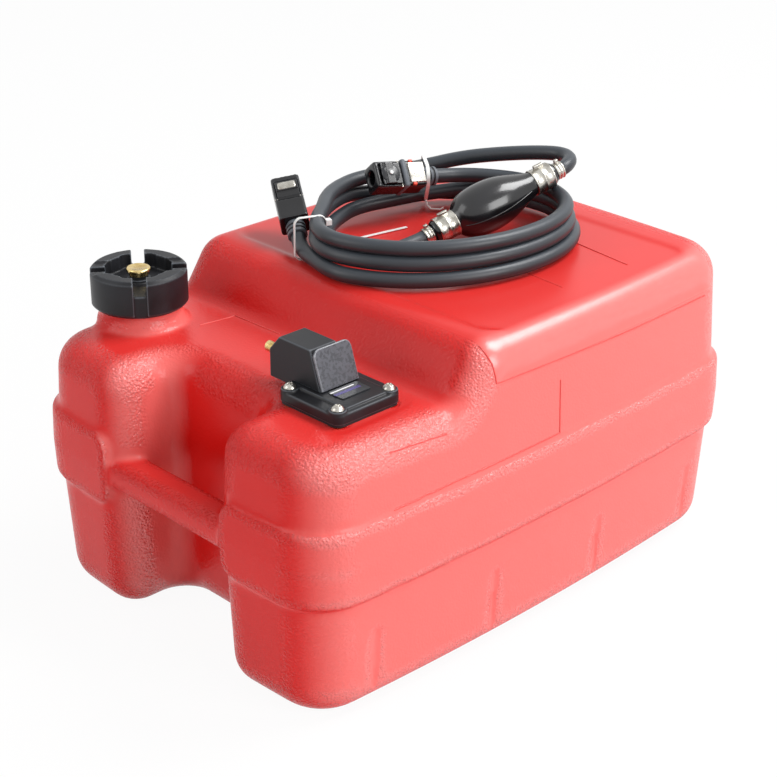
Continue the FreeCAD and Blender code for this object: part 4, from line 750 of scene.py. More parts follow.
def bead(name: str, points_mm: list, target: Object, radius_mm: float, cuts: int = 24) -> Object:
    """Lays a thin round bead along the skin of a piece.

    Args:
        name: the bead's name.
        points_mm: corners of its line, near the skin.
        target: the piece that it lies on.
        radius_mm: its radius.
        cuts: how many points are put between two corners.

    Returns:
        The new piece.
    """
    piece = outline(name, millimetres(points_mm))
    edit(piece)
    bpy.ops.mesh.subdivide(number_cuts=cuts)
    close_edit()
    apply_modifier(piece, "SHRINKWRAP", target=target, wrap_method="NEAREST_SURFACEPOINT")
    return ribbed(piece, radius_mm)


def frame_at(foot_mm: Vector, axis: Vector, side: Vector) -> Matrix:
    """Gives a place whose Z runs along an axis from a foot and whose Y faces a side.

    Args:
        foot_mm: its origin.
        axis: its Z direction.
        side: what its Y direction is nearest to.

    Returns:
        The place.
    """
    z = axis.normalized()
    x = side.cross(z).normalized()
    y = z.cross(x)
    return Matrix.Translation(MM * foot_mm) @ Matrix((x, y, z)).transposed().to_4x4()


class Dresser:
    """Builds each finish once and puts it on pieces."""

    def __init__(self) -> None:
        """Builds the materials."""
        self.materials = {slot: finish.build() for slot, finish in FINISHES.items()}
        self.marks = {name: finish.build() for name, finish in MARK_FINISHES.items()}

    def finish(self, piece: Object, slot: Slot, body: str, *nodes: str) -> Object:
        """Shades a new piece, dresses it and puts it on its body.

        Args:
            piece: the piece, in its place.
            slot: the slot whose finish it takes.
            body: the CAD body that it rides on.
            nodes: the CAD nodes that it stands for.

        Returns:
            The same piece.
        """
        self.cover(piece, self.materials[slot], body)
        if nodes:
            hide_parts(*nodes)
        return piece

    def mark(self, piece: Object, colour: str, body: str) -> Object:
        """Gives a small mark its own colour and puts it on its body."""
        self.cover(piece, self.marks[colour], body)
        return piece

    @staticmethod
    def cover(piece: Object, material: Material, body: str) -> None:
        """Shades a piece, covers it with one material and puts it on its body.

        Args:
            piece: the piece.
            material: the material.
            body: the CAD body.
        """
        if piece.type == "MESH":
            activate(piece)
            bpy.ops.object.shade_smooth_by_angle(angle=math.radians(SHARP_DEG))
        piece.data.materials.clear()
        piece.data.materials.append(material)
        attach(piece, body)
        LOG.info("%s rides on %s", piece.name, body)

    def paint_node(self, node: str, slot: Slot) -> None:
        """Puts a finish into a CAD node's own material slots.

        Args:
            node: the CAD node.
            slot: the slot whose finish it takes.
        """
        piece = frame["nodes"][node]
        for material_slot in piece.material_slots:
            material_slot.material = self.materials[slot]
        if not piece.material_slots:
            piece.data.materials.append(self.materials[slot])


# ---------------------------------------------------------------- tank
@dataclass
class TankShell:
    """The hollow red moulding, its edges softened as blow moulding leaves them.

    Attributes:
        voxel_mm: smallest detail of the softened form.
        rounds: how often its edges are smoothed.
        kept_share: share of the faces that stays where the form is plain.
        bead_mm: radius of the raised lines on the skin.
        lines: corners of each raised line.
    """

    voxel_mm: float = 2.4
    rounds: int = 3
    kept_share: float = 0.4
    bead_mm: float = 0.55
    lines: tuple = (
        ((166, -160, 158.5), (168, -60, 158.5), (166, 8, 158.5), (164, 8, 201)),
        ((163, -159, 203), (164, -107, 198)),
        ((-84, -128, 208), (-79, -97, 208), (-27, -96, 208)),
        ((56, 139, 248), (124, 130, 248)),
        ((81, 61, 248), (120, 58, 248)),
        ((146, -62, 244), (158, -61, 233), (162, -60, 219.5), (163, 7, 217.7), (162, 77, 215.5),
         (161, 190, 214)),
    )

    def build(self, dresser: Dresser) -> None:
        """Makes the shell and the raised lines of its mould.

        Args:
            dresser: the finishes.
        """
        shell = softened("tank_body", "tank_shell", self.voxel_mm, self.rounds)
        apply_modifier(shell, "DECIMATE", ratio=self.kept_share)
        beads = [bead("moulded_line", line, shell, self.bead_mm) for line in self.lines]
        dresser.mark(joined("moulded_lines", beads), "red", "tank")
        dresser.finish(shell, Slot.TANK, "tank", "tank_body")


# ---------------------------------------------------------------- cap and vent
@dataclass
class FillerCap:
    """The black cap with its scalloped bowl, and the brass vent screw in it.

    Attributes:
        middle_mm: axis of the cap.
        voxel_mm: smallest detail of the softened cap.
        rounds: how often its edges are smoothed.
        screw: outline of the vent screw, radius and height.
    """

    middle_mm: tuple = (-126.0, -152.0, 0.0)
    voxel_mm: float = 0.7
    rounds: int = 2
    screw: tuple = (
        (0, 240), (1.5, 240), (1.5, 226.5), (3.6, 226.5), (4, 227), (4, 244.5), (7.2, 244.5),
        (7.6, 244.9), (7.6, 247.1), (8.5, 247.5), (9.3, 248.3), (9.3, 249.8), (8.9, 250.4),
        (8.3, 250.7), (6.9, 250.7), (6.6, 250.5), (0, 250.5),
    )

    def build(self, dresser: Dresser) -> None:
        """Makes the cap and its screw.

        Args:
            dresser: the finishes.
        """
        cap = softened("filler_cap", "cap", self.voxel_mm, self.rounds)
        dresser.finish(cap, Slot.BLACK, "filler_cap", "filler_cap")
        screw = turned("vent_thumb_screw", self.screw)
        put(screw, Matrix.Translation(MM * Vector(self.middle_mm)))
        dresser.finish(screw, Slot.BRASS, "vent_screw", "vent_screw")


# ---------------------------------------------------------------- gauge
@dataclass
class GaugeHead:
    """Flange, hood, sloping lens, screws and printed scale of the level gauge.

    Attributes:
        pieces: node, new name, smallest detail, smoothing rounds and finish.
        bars: colour and two corners of each printed bar.
        bar_edge_mm: radius of a bar's edges.
    """

    pieces: tuple = (
        ("gauge_base", "gauge_flange", 0.6, 3, Slot.BLACK),
        ("gauge_hood", "gauge_cover", 0.55, 3, Slot.BLACK),
        ("gauge_lens", "gauge_window", 0.5, 3, Slot.LENS),
        ("gauge_screws", "flange_screws", 0.32, 2, Slot.STEEL),
    )
    bars: tuple = (
        ("white", (93.5, -156, 219.9), (94.7, -134, 220.2)),
        ("violet", (97, -156, 219.9), (100, -132, 220.2)),
    )
    bar_edge_mm: float = 0.1

    def build(self, dresser: Dresser) -> None:
        """Makes every piece of the gauge that shows.

        Args:
            dresser: the finishes.
        """
        for node, name, voxel_mm, rounds, slot in self.pieces:
            dresser.finish(softened(node, name, voxel_mm, rounds), slot, "tank", node)
        for colour, low, high in self.bars:
            bar = rounded_block(f"{colour}_scale_bar", low, high, self.bar_edge_mm)
            dresser.mark(bar, colour, "tank")


# ---------------------------------------------------------------- bulb
@dataclass
class PrimerBulb:
    """The rubber bulb with its seam, and the four band clamps on its line.

    Attributes:
        inlet_mm: end of the inlet neck.
        outlet_mm: end of the outlet neck.
        neck_r: outer radius of the necks.
        belly_r: radius of the bulb's thickest place.
        wall: thickness of the rubber.
        neck: length of each neck.
        collar: how far the rubber reaches over the hose.
        swell: share of the way between the necks, and share of the swelling there.
        steps: faces round the bulb before it is subdivided.
        seam_r: radius of the seam's bead.
        bands: start along the axis, length and inner radius of each band, the wide ones first.
        band_wall: thickness of a band's steel.
        band_steps: faces round a band.
        rib: section of a rib: height over the band, and place along it.
        ear: half width of a band's pinched ear, and its foot and top over the steel.
        ear_share: shares of the band's length between which the ear stands.
        ear_edge: radius of its edges.
    """

    inlet_mm: tuple = (-3.0, 53.4, 261.6)
    outlet_mm: tuple = (25.8, 143.3, 291.0)
    neck_r: float = 9.6
    belly_r: float = 21.0
    wall: float = 2.6
    neck: float = 13.0
    collar: float = 8.0
    swell: tuple = ((0, 0), (0.04, 0.34), (0.10, 0.66), (0.20, 0.90), (0.32, 0.99), (0.42, 1.0),
                    (0.54, 0.94), (0.66, 0.77), (0.78, 0.50), (0.90, 0.20), (1.0, 0))
    steps: int = 24
    bands: tuple = ((-4.6, 17.6, 9.65), (85.87, 17.6, 9.65), (-15.6, 7.0, 6.05),
                    (107.47, 7.0, 6.05))
    seam_r: float = 0.5
    band_wall: float = 0.8
    band_steps: int = 72
    rib: tuple = ((0, 0), (0.35, 0.5), (0.35, 1.0), (0, 1.5))
    ear: tuple = (1.2, -0.4, 3.2)
    ear_share: tuple = (0.25, 0.75)
    ear_edge: float = 0.5

    def side(self) -> list:
        """Draws the bulb's outside.

        Returns:
            Radius and height of each corner of its outline, in millimetres.
        """
        span = (Vector(self.outlet_mm) - Vector(self.inlet_mm)).length
        belly = span - 2 * self.neck
        rise = self.belly_r - self.neck_r
        middle = [(self.neck_r + k * rise, self.neck + s * belly) for s, k in self.swell]
        start = [(self.neck_r, -self.collar), (self.neck_r, self.neck * 0.5)]
        end = [(self.neck_r, span - self.neck * 0.5), (self.neck_r, span + self.collar)]
        return start + middle + end

    def place(self) -> Matrix:
        """Gives the bulb's frame: its axis, with the seam's side up."""
        inlet, outlet = Vector(self.inlet_mm), Vector(self.outlet_mm)
        return frame_at(inlet, outlet - inlet, Vector((0, 0, 1)))

    def build(self, dresser: Dresser) -> list:
        """Makes the bulb and its bands.

        Args:
            dresser: the finishes.

        Returns:
            The finished pieces.
        """
        side = self.side()
        inside = [(radius - self.wall, height) for radius, height in reversed(side)]
        bulb = turned("squeeze_bulb", side + inside + side[:1], self.steps)
        apply_modifier(bulb, "SUBSURF", levels=2)
        seam = bead("bulb_seam", [(-radius, 0, height) for radius, height in side[3:-3]], bulb,
                    self.seam_r, cuts=3)
        place = self.place()
        dresser.finish(put(bulb, place), Slot.BULB, "tank", "primer_bulb")
        dresser.finish(put(seam, place), Slot.BULB, "tank")
        wide = joined("neck_bands", [self.band(*band) for band in self.bands[:2]])
        narrow = joined("hose_bands", [self.band(*band) for band in self.bands[2:]])
        dresser.finish(put(wide, place), Slot.STEEL, "tank", "bulb_clamps")
        dresser.finish(put(narrow, place), Slot.STEEL, "tank", "hose_clamps")
        return [bulb, seam, wide, narrow]

    def band(self, start: float, length: float, radius: float) -> Object:
        """Makes one band with three rolled ribs and a pinched ear.

        Args:
            start: where it begins along the axis.
            length: its width.
            radius: its inner radius.

        Returns:
            The band, upright on the bulb's axis.
        """
        outer, room = radius + self.band_wall, length - self.rib[-1][1]
        ribs = [(outer + rise, foot + along) for foot in (0.0, room / 2, room)
                for rise, along in self.rib]
        profile = [(radius, 0), *ribs, (radius, length), (radius, 0)]
        ring = turned("band", [(r, start + along) for r, along in profile], self.band_steps)
        half, foot, top = self.ear
        near, far = (start + share * length for share in self.ear_share)
        ear = rounded_block("ear", (-half, outer + foot, near), (half, outer + top, far),
                            self.ear_edge)
        return joined("band", [ring, ear])


# ---------------------------------------------------------------- connectors
@dataclass
class Connector:
    """A quick connector on the end of a hose, in its own frame: Z towards the mouth.

    Attributes:
        end: the first part of its CAD nodes' names.
        latch_body: the body that its latch rides on.
        foot_mm: where the hose enters.
        behind_mm: the hose's next point, which sets the axis.
        side: which way the latch faces.
        rounds: how often its body's edges are smoothed.
        body_voxel_mm: smallest detail of the body.
        latch_voxel_mm: smallest detail of the latch.
        latch_rounds: how often the latch's edges are smoothed.
        ferrule: outline of the collar on the hose, radius and height.
    """

    end: str
    latch_body: str
    foot_mm: tuple
    behind_mm: tuple
    side: tuple
    rounds: int = 5
    body_voxel_mm: float = 0.65
    latch_voxel_mm: float = 0.35
    latch_rounds: int = 2
    ferrule: tuple = ((6.05, 0), (7.4, 0), (7.9, 0.5), (7.9, 2.6), (7.3, 3.1), (7.3, 4.1),
                      (7.9, 4.6), (7.9, 6.6), (7.3, 7.1), (7.3, 8.1), (7.9, 8.6), (7.9, 10.8),
                      (6.9, 12.9), (6.05, 12.9), (6.05, 0))

    def place(self) -> Matrix:
        """Gives the connector's frame."""
        foot = Vector(self.foot_mm)
        return frame_at(foot, foot - Vector(self.behind_mm), Vector(self.side))

    def build(self, dresser: Dresser) -> list:
        """Makes the connector's body, collar and latch.

        Args:
            dresser: the finishes.

        Returns:
            The finished pieces.
        """
        end = self.end
        body = softened(f"{end}_body", f"{end}_housing", self.body_voxel_mm, self.rounds)
        dresser.finish(body, Slot.GLOSS, "tank", f"{end}_body")
        collar = put(turned(f"{end}_collar", self.ferrule), self.place())
        dresser.finish(collar, Slot.BLACK, "tank", f"{end}_ferrule")
        lever = softened(f"{end}_latch", f"{end}_lever", self.latch_voxel_mm, self.latch_rounds)
        dresser.finish(lever, Slot.GLOSS, self.latch_body, f"{end}_latch")
        return [body, collar, lever, *self.extras(dresser)]

    def extras(self, dresser: Dresser) -> list:
        """Makes what only this connector has."""
        return []

    def facing_side(self, name: str, profile: tuple, along: float) -> Object:
        """Turns a small round piece that stands on the latch's side.

        Args:
            name: the piece's name.
            profile: radius, and distance from the connector's axis.
            along: where it stands along that axis.

        Returns:
            The piece in its place.
        """
        piece = turned(name, profile, steps=48)
        tilt = Matrix.Rotation(math.radians(-90), 4, "X")
        return put(piece, self.place() @ Matrix.Translation((0, 0, along * MM)) @ tilt)

    def slab(self, name: str, low: tuple, high: tuple, edge_mm: float) -> Object:
        """Makes a rounded block in the connector's own frame."""
        return put(rounded_block(name, low, high, edge_mm), self.place())


@dataclass
class TankConnector(Connector):
    """The connector for the tank's fitting, with a bright steel roller as its thumb button.

    Attributes:
        roller: two corners of the roller.
        roller_edge: radius of its edges.
    """

    roller: tuple = ((-7.6, 9.0, 42.6), (7.6, 13.0, 50.4))
    roller_edge: float = 1.9

    def extras(self, dresser: Dresser) -> list:
        """Makes the roller."""
        roller = self.slab("latch_roller", *self.roller, self.roller_edge)
        return [dresser.finish(roller, Slot.STEEL, self.latch_body)]


@dataclass
class EngineConnector(Connector):
    """The connector for the engine, with a round thumb pad and a bright spring clip.

    Attributes:
        pad: outline of the pad, radius and distance from the connector's axis.
        dot: outline of the pivot in it.
        pad_z: where both stand along the axis.
        clip: two corners of the clip, and the radius of its edges.
        ring: the same for the ring round the housing.
        bit: the same for one end of the clip, in the middle.
        bit_x: how far the ends stand to either side.
    """

    pad: tuple = ((0, 9.2), (7.6, 9.2), (8.2, 9.8), (8.2, 10.7), (7.6, 11.4), (6.4, 11.8),
                  (0, 12.0))
    dot: tuple = ((0, 11.9), (1.5, 11.9), (1.5, 12.3), (1.2, 12.6), (0, 12.7))
    pad_z: float = 45.7
    clip: tuple = ((-8.6, 9.0, 14.2), (8.6, 11.0, 28.6), 0.7)
    ring: tuple = ((-12.1, -10.5, 29.5), (12.1, 10.9, 34.5), 2.0)
    bit: tuple = ((-1.2, 8.4, 23.5), (1.2, 10.9, 27.0), 0.6)
    bit_x: float = 9.9

    def extras(self, dresser: Dresser) -> list:
        """Makes the pad, its pivot, the clip, its two ends and the ring.

        Args:
            dresser: the finishes.

        Returns:
            The finished pieces.
        """
        pad = self.facing_side("thumb_pad", self.pad, self.pad_z)
        dot = self.facing_side("pad_pivot", self.dot, self.pad_z)
        clip = self.slab("spring_clip", *self.clip)
        ring = self.slab("housing_ring", *self.ring)
        bits = [dresser.mark(self.slab(f"clip_end_{name}", *self.shifted(x)), "orange", "tank")
                for name, x in (("left", -self.bit_x), ("right", self.bit_x))]
        return [dresser.finish(pad, Slot.GLOSS, self.latch_body),
                dresser.finish(dot, Slot.WHITE, self.latch_body),
                dresser.finish(clip, Slot.STEEL, "tank"),
                dresser.finish(ring, Slot.BLACK, "tank"), *bits]

    def shifted(self, x: float) -> tuple:
        """Gives the corners and the edge of one clip end."""
        low, high, edge = self.bit
        return (low[0] + x, *low[1:]), (high[0] + x, *high[1:]), edge


# ---------------------------------------------------------------- ties
@dataclass
class Ties:
    """The two cable ties that hold the coil together.

    Attributes:
        voxel_mm: smallest detail of the front tie.
        rounds: how often its edges are smoothed.
        middle_mm: middle of the coil, seen from above.
        rear_deg: direction of the rear tie from there.
        width: width of a strap.
        wall: its thickness.
        rear_loop: the rear strap round the hoses: distance from the middle, and height.
        rear_head: two corners of its lock, and the radius of its edges.
        rear_tail: its loose end.
        tail_r: half the thickness of the loose end.
    """

    voxel_mm: float = 0.36
    rounds: int = 4
    middle_mm: tuple = (-16.0, 59.0, 0.0)
    rear_deg: float = 140.0
    width: float = 3.0
    wall: float = 1.0
    rear_loop: tuple = (
        (61.1, 289.3), (54.5, 286.9), (52.2, 284.3), (51.5, 281), (52.9, 275.3), (71.8, 256.8),
        (75.5, 254.3), (90.4, 250.4), (94, 250.5), (96.9, 252), (98.6, 254.8), (99.2, 258),
        (100.6, 277), (100.2, 281), (98.6, 284.6), (95.8, 286.8), (91.5, 287.6), (61.1, 289.3),
    )
    rear_head: tuple = ((99.4, -2.5, 264), (103.4, 2.5, 269), 0.6)
    rear_tail: tuple = ((72, 0, 256.6), (69.5, -1, 252.5), (68, -4, 249.7), (66.5, -12, 249.5),
                        (66.5, -14.5, 251))
    tail_r: float = 0.8

    def build(self, dresser: Dresser) -> list:
        """Makes both ties.

        Args:
            dresser: the finishes.

        Returns:
            The finished pieces, the front one first.
        """
        front = softened("cable_tie_front", "front_strap", self.voxel_mm, self.rounds)
        return [dresser.finish(front, Slot.WHITE, "tank", "cable_tie_front"),
                dresser.finish(self.rear(), Slot.WHITE, "tank", "cable_tie_rear")]

    def rear(self) -> Object:
        """Makes the rear tie, which holds the engine's hose as well.

        Returns:
            The tie, in its place.
        """
        near = -self.width / 2
        loop = outline("loop", millimetres((r, near, z) for r, z in self.rear_loop))
        edit(loop)
        across = Vector((0, self.width * MM, 0))
        bpy.ops.mesh.extrude_region_move(TRANSFORM_OT_translate={"value": across})
        clean()
        apply_modifier(loop, "SOLIDIFY", thickness=self.wall * MM, offset=0)
        head = rounded_block("head", *self.rear_head)
        tail = ribbed(outline("tail", millimetres(self.rear_tail)), self.tail_r)
        turn = Matrix.Rotation(math.radians(self.rear_deg), 4, "Z")
        place = Matrix.Translation(MM * Vector(self.middle_mm)) @ turn
        return put(joined("rear_strap", [loop, head, tail]), place)


# ---------------------------------------------------------------- fuel line
def smooth_curve(name: str, points: list, radius: float) -> Object:
    """Makes a round hose on a smooth spline.

    Args:
        name: the piece's name.
        points: the route's control points.
        radius: outer radius of the hose.

    Returns:
        The curve with its round section.
    """
    data = bpy.data.curves.new(name, "CURVE")
    data.dimensions = "3D"
    spline = data.splines.new("NURBS")
    spline.points.add(len(points) - 1)
    for point, place in zip(spline.points, points):
        point.co = (*place, 1.0)
    spline.order_u = 3
    spline.use_endpoint_u = True
    spline.resolution_u = 8
    data.bevel_depth = radius
    data.bevel_resolution = 6
    data.use_fill_caps = True
    piece = bpy.data.objects.new(name, data)
    bpy.context.scene.collection.objects.link(piece)
    return piece


def curve_length(piece: Object) -> float:
    """Measures the spline of a hose along its middle.

    Args:
        piece: the hose.

    Returns:
        Its length in metres.
    """
    thin = piece.data.copy()
    thin.bevel_depth = 0.0
    probe = bpy.data.objects.new("probe", thin)
    bpy.context.scene.collection.objects.link(probe)
    bpy.context.view_layer.update()
    mesh = bpy.data.meshes.new_from_object(probe)
    length = sum((mesh.vertices[e.vertices[0]].co - mesh.vertices[e.vertices[1]].co).length
                 for e in mesh.edges)
    bpy.data.objects.remove(probe)
    bpy.data.meshes.remove(mesh)
    return length


@dataclass
class FuelLine:
    """The hose lying in a loose coil on the deck, with its bulb, ties and connectors.

    Attributes:
        radius: outer radius of the hose.
        middle: middle of the coil, seen from above.
        squareness: how far the turns bulge towards their four corners.
        step_deg: angle between two points on a turn.
        inside_mm: how far each hose reaches into its connector's collar.
        straight_in: distances from the bulb's inlet at which the hose runs straight.
        straight_out: the same for its outlet.
        tank_end: first stretch, from the tank's connector.
        lower_turns: angle, half widths along x and y, and height, round the lower coil.
        inlet: stretch from the coil to the bulb.
        outlet: stretch from the bulb to the upper turn.
        upper_turn: as lower_turns, for the turn above.
        engine_end: last stretch, to the engine's connector.
    """

    radius: float = 0.006
    middle: tuple = (-16.0, 59.0)
    squareness: float = 0.05
    step_deg: float = 15.0
    inside_mm: float = 9.0
    straight_in: tuple = (24, 12, 0)
    straight_out: tuple = (0, 11, 20)
    tank_end: tuple = ((-71.5, -37, 260.5), (-64, -41.6, 256.5), (-52, -47.5, 255.4),
                       (-37, -51.5, 255.2))
    lower_turns: tuple = ((275, 99.5, 119.5, 254.6), (315, 101, 120.5, 254.4),
                          (360, 100, 119.5, 254.4), (405, 100, 114.5, 254.4),
                          (450, 96, 111.5, 254.4), (490, 92, 105, 255.5),
                          (520, 90.5, 102, 260), (545, 91, 102, 265.4),
                          (575, 82, 96, 266.6), (600, 80, 97, 267), (615, 89, 107.5, 267),
                          (630, 94, 113.6, 266.4), (675, 97, 116, 265.8), (720, 96, 115, 265.8),
                          (765, 96, 110.5, 265.8), (800, 93, 105, 265.6),
                          (830, 84, 95, 264.4), (855, 77, 88, 261.5), (880, 76, 84, 258.5))
    inlet: tuple = ((-97, 50, 257), (-92, 26, 255.2), (-81, 3, 254.9), (-63, -14, 255),
                    (-45, -22.5, 255), (-28, -21, 254.8), (-15, -12, 254.4), (-8.5, 2.3, 254.4))
    outlet: tuple = ((25.3, 175.1, 298.6), (10.9, 180.9, 298.8), (-11, 172.9, 296.5),
                     (-37.6, 160, 292), (-66, 142.6, 286), (-88, 116, 278.5))
    upper_turn: tuple = ((160, 89, 99, 277.8), (180, 89.5, 96, 277.4), (210, 82, 92, 277.4),
                         (228, 76, 91.5, 277.4), (240, 80, 97, 277.4), (255, 89, 106, 277.4),
                         (270, 92, 111, 277.2), (315, 94.5, 112.5, 277), (360, 93.5, 111.5, 277),
                         (405, 95, 107, 277), (435, 88, 101, 276.8))
    engine_end: tuple = ((-15, 155.5, 276.5), (-33, 145, 277), (-47, 132.5, 277.6),
                         (-56.8, 118.6, 278.1), (-61, 104.3, 279.8))

    def coil(self, keys: tuple) -> list:
        """Turns a table of places round the coil into points close together.

        Args:
            keys: angle in degrees, half widths along x and y, and height.

        Returns:
            Points every few degrees, in metres.
        """
        points = []
        for (start, *low), (end, *high) in zip(keys, keys[1:]):
            steps = max(1, round((end - start) / self.step_deg))
            for step in range(steps):
                share = step / steps
                half_x, half_y, height = (a + (b - a) * share for a, b in zip(low, high))
                points.append(self.coil_point(start + (end - start) * share, half_x, half_y,
                                              height))
        points.append(self.coil_point(*keys[-1]))
        return points

    def coil_point(self, degrees: float, half_x: float, half_y: float, height: float) -> Vector:
        """Gives one place on a turn.

        Args:
            degrees: its direction from the middle.
            half_x: half width of the turn along x.
            half_y: half width along y.
            height: its height.

        Returns:
            The place, in metres.
        """
        angle = math.radians(degrees)
        bulge = 1 + self.squareness * math.cos(2 * (angle - math.radians(45)))
        return MM * Vector((self.middle[0] + half_x * bulge * math.cos(angle),
                            self.middle[1] + half_y * bulge * math.sin(angle), height))

    def into_collar(self, foot: Vector, behind: Vector) -> Vector:
        """Gives the hose's end inside the collar that it is pushed into."""
        return foot + (foot - behind).normalized() * self.inside_mm * MM

    def build(self, dresser: Dresser, bulb: PrimerBulb, carried: tuple) -> None:
        """Args:
            dresser: the finishes.
            bulb: the bulb between the two hoses.
            carried: the pieces on the tank's side and those on the engine's side; not used.
        """
        inlet_end, outlet_end = millimetres((bulb.inlet_mm, bulb.outlet_mm))
        ahead = (outlet_end - inlet_end).normalized() * MM
        tank_end, engine_end = millimetres(self.tank_end), millimetres(self.engine_end)
        lower = [self.into_collar(*tank_end[:2]), *tank_end, *self.coil(self.lower_turns),
                 *millimetres(self.inlet), *(inlet_end - far * ahead for far in self.straight_in)]
        upper = [*(outlet_end + far * ahead for far in self.straight_out),
                 *millimetres(self.outlet), *self.coil(self.upper_turn), *engine_end,
                 self.into_collar(engine_end[-1], engine_end[-2])]
        self.hose(dresser, "tank_side_hose", lower,
                  ("tank_end_hose", "inlet_hose_coil", "bulb_inlet_hose"))
        self.hose(dresser, "engine_side_hose", upper,
                  ("engine_end_hose", "outlet_hose_coil", "bulb_outlet_hose"))

    def hose(self, dresser: Dresser, name: str, points: list, nodes: tuple) -> None:
        """Makes one hose, hides the CAD nodes that it stands for and logs its length.

        Args:
            dresser: the finishes.
            name: the piece's name.
            points: its route, in metres.
            nodes: the CAD nodes that it replaces.
        """
        piece = smooth_curve(name, points, self.radius)
        dresser.finish(piece, Slot.HOSE, "tank", *nodes)
        length = curve_length(piece)
        LOG.info("%s is %.3f m long", name, length)


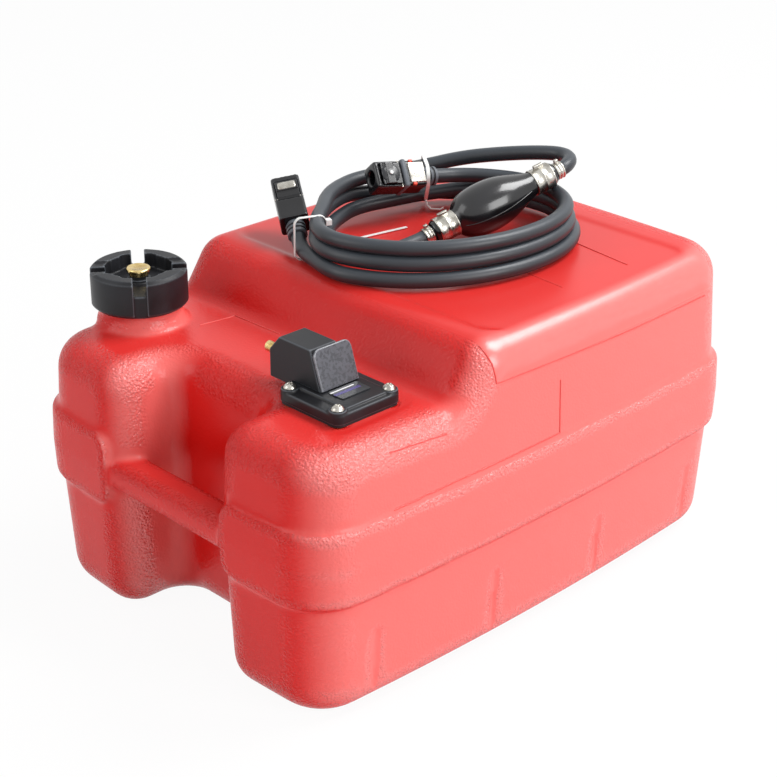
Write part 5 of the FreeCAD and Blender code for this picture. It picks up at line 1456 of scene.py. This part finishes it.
# ---------------------------------------------------------------- camera and light
@dataclass
class Studio:
    """Camera, lamps, white surroundings and floor.

    Attributes:
        camera_place: where the camera stands.
        azimuth_deg: its direction round the tank.
        elevation_deg: its height above the horizon.
        roll_deg: its tilt.
        lens_mm: its focal length.
        sensor_mm: width of its sensor.
        nearest: how near it sees.
        lamps: name, place, size and power of each soft lamp.
        aim: where they all point.
        world_light: strength of the light from all round.
        floor_size: width of the floor.
        floor_paint: how pale it is.
        floor_glow: share of the floor that shows as plain white.
    """

    camera_place: tuple = (0.92463, -0.9154, 0.75587)
    azimuth_deg: float = 45.51
    elevation_deg: float = 25.30
    roll_deg: float = 0.25
    lens_mm: float = 83.449
    sensor_mm: float = 36.0
    nearest: float = 0.05
    lamps: tuple = (
        ("key_lamp", (2.5, 0.3, 1.4), 1.4, 40.0),
        ("top_lamp", (0.7, 1.3, 2.2), 1.2, 52.0),
        ("front_lamp", (-0.9, -2.1, 1.5), 1.5, 15.0),
    )
    aim: tuple = (0, 0, 0.15)
    world_light: float = 0.42
    floor_size: float = 30.0
    floor_paint: float = 0.9
    floor_glow: float = 0.94

    def build(self) -> None:
        """Makes everything in turn."""
        self.set_camera()
        self.set_lamps()
        self.set_world()
        self.set_floor()

    def set_camera(self) -> None:
        """Places the camera and makes it the scene's own."""
        azimuth, elevation, roll = (math.radians(v) for v in
                                    (self.azimuth_deg, self.elevation_deg, self.roll_deg))
        back = Vector((math.sin(azimuth) * math.cos(elevation),
                       -math.cos(azimuth) * math.cos(elevation), math.sin(elevation)))
        right = Vector((math.cos(azimuth), math.sin(azimuth), 0))
        up = back.cross(right)
        across = right * math.cos(roll) + up * math.sin(roll)
        upward = up * math.cos(roll) - right * math.sin(roll)
        data = bpy.data.cameras.new("main_camera")
        data.lens = self.lens_mm
        data.sensor_width = self.sensor_mm
        data.clip_start = self.nearest
        camera = bpy.data.objects.new("main_camera", data)
        bpy.context.scene.collection.objects.link(camera)
        turn = Matrix((across, upward, back)).transposed().to_4x4()
        camera.matrix_world = Matrix.Translation(self.camera_place) @ turn
        bpy.context.scene.camera = camera

    def set_lamps(self) -> None:
        """Hangs the large soft lamps, all aimed at the tank."""
        for name, place, size, power in self.lamps:
            data = bpy.data.lights.new(name, "AREA")
            data.size = size
            data.energy = power
            lamp = bpy.data.objects.new(name, data)
            lamp.location = place
            ray = Vector(self.aim) - Vector(place)
            lamp.rotation_euler = ray.to_track_quat("-Z", "Y").to_euler()
            bpy.context.scene.collection.objects.link(lamp)

    @staticmethod
    def seen_directly(tree: NodeTree) -> NodeSocket:
        """Says where a ray comes from the camera, a mirror or glass.

        Args:
            tree: the node tree.

        Returns:
            One for such a ray and nought for any other.
        """
        path = add_node(tree, "ShaderNodeLightPath")
        seen = path.outputs["Is Camera Ray"]
        for other in ("Is Glossy Ray", "Is Transmission Ray"):
            seen = add_node(tree, "ShaderNodeMath", {"operation": "MAXIMUM"},
                            {0: seen, 1: path.outputs[other]}).outputs[0]
        return seen

    def set_world(self) -> None:
        """Makes white surroundings that light the tank softly."""
        world = bpy.data.worlds.new("white_studio")
        bpy.context.scene.world = world
        world.use_nodes = True
        tree = world.node_tree
        tree.nodes.clear()
        light = add_node(tree, "ShaderNodeBackground",
                         {"Color": (1, 1, 1, 1), "Strength": self.world_light})
        shown = add_node(tree, "ShaderNodeBackground", {"Color": (1, 1, 1, 1), "Strength": 1.0})
        mix = add_node(tree, "ShaderNodeMixShader", None,
                       {0: self.seen_directly(tree), 1: light.outputs[0], 2: shown.outputs[0]})
        add_node(tree, "ShaderNodeOutputWorld", None, {"Surface": mix.outputs[0]})

    def set_floor(self) -> None:
        """Lays the pale floor, which keeps only a faint shadow."""
        bpy.ops.mesh.primitive_plane_add(size=self.floor_size, location=(0, 0, 0))
        floor = bpy.context.object
        floor.name = "studio_floor"
        material = bpy.data.materials.new("white_floor")
        material.use_nodes = True
        tree = material.node_tree
        tree.nodes.clear()
        paint = add_node(tree, "ShaderNodeBsdfDiffuse",
                         {"Color": (self.floor_paint, self.floor_paint, self.floor_paint, 1)})
        glow = add_node(tree, "ShaderNodeEmission", {"Color": (1, 1, 1, 1), "Strength": 1.0})
        share = add_node(tree, "ShaderNodeMath", {"operation": "MULTIPLY", 1: self.floor_glow},
                         {0: self.seen_directly(tree)})
        mix = add_node(tree, "ShaderNodeMixShader", None,
                       {0: share.outputs[0], 1: paint.outputs[0], 2: glow.outputs[0]})
        add_node(tree, "ShaderNodeOutputMaterial", None, {"Surface": mix.outputs[0]})
        floor.data.materials.append(material)


def shown_nodes(*names: str) -> list:
    """Gives the CAD nodes that stay in sight."""
    return [frame["nodes"][name] for name in names]


def main() -> None:
    """Builds the dressed model and its studio."""
    logging.basicConfig(level=logging.INFO, format="%(name)s %(message)s")
    bpy.context.scene.view_settings.view_transform = "Standard"
    Studio().build()
    dresser = Dresser()
    for part in frame["record"]["subparts"]:
        dresser.paint_node(part["node"], Slot(part["material_slot"]))
    TankShell().build(dresser)
    FillerCap().build(dresser)
    GaugeHead().build(dresser)
    line = FuelLine()
    bulb = PrimerBulb()
    tank_end = TankConnector("tank_end", "tank_latch", line.tank_end[0], line.tank_end[1],
                             (0.5, -0.5, 0.7)).build(dresser)
    engine_end = EngineConnector("engine_end", "engine_latch", line.engine_end[-1],
                                 line.engine_end[-2], (0.6, -0.4, 0.6), 36).build(dresser)
    front_tie, rear_tie = Ties().build(dresser)
    line.build(dresser, bulb, (
        [*tank_end, front_tie, *bulb.build(dresser),
         *shown_nodes("tank_end_latch_pin", "tank_end_seal", "bulb_inlet_fitting",
                      "bulb_inlet_ball")],
        [*engine_end, rear_tie,
         *shown_nodes("engine_end_latch_pin", "engine_end_seal", "bulb_outlet_fitting",
                      "bulb_outlet_ball")],
    ))


if __name__ == "__main__":
    main()
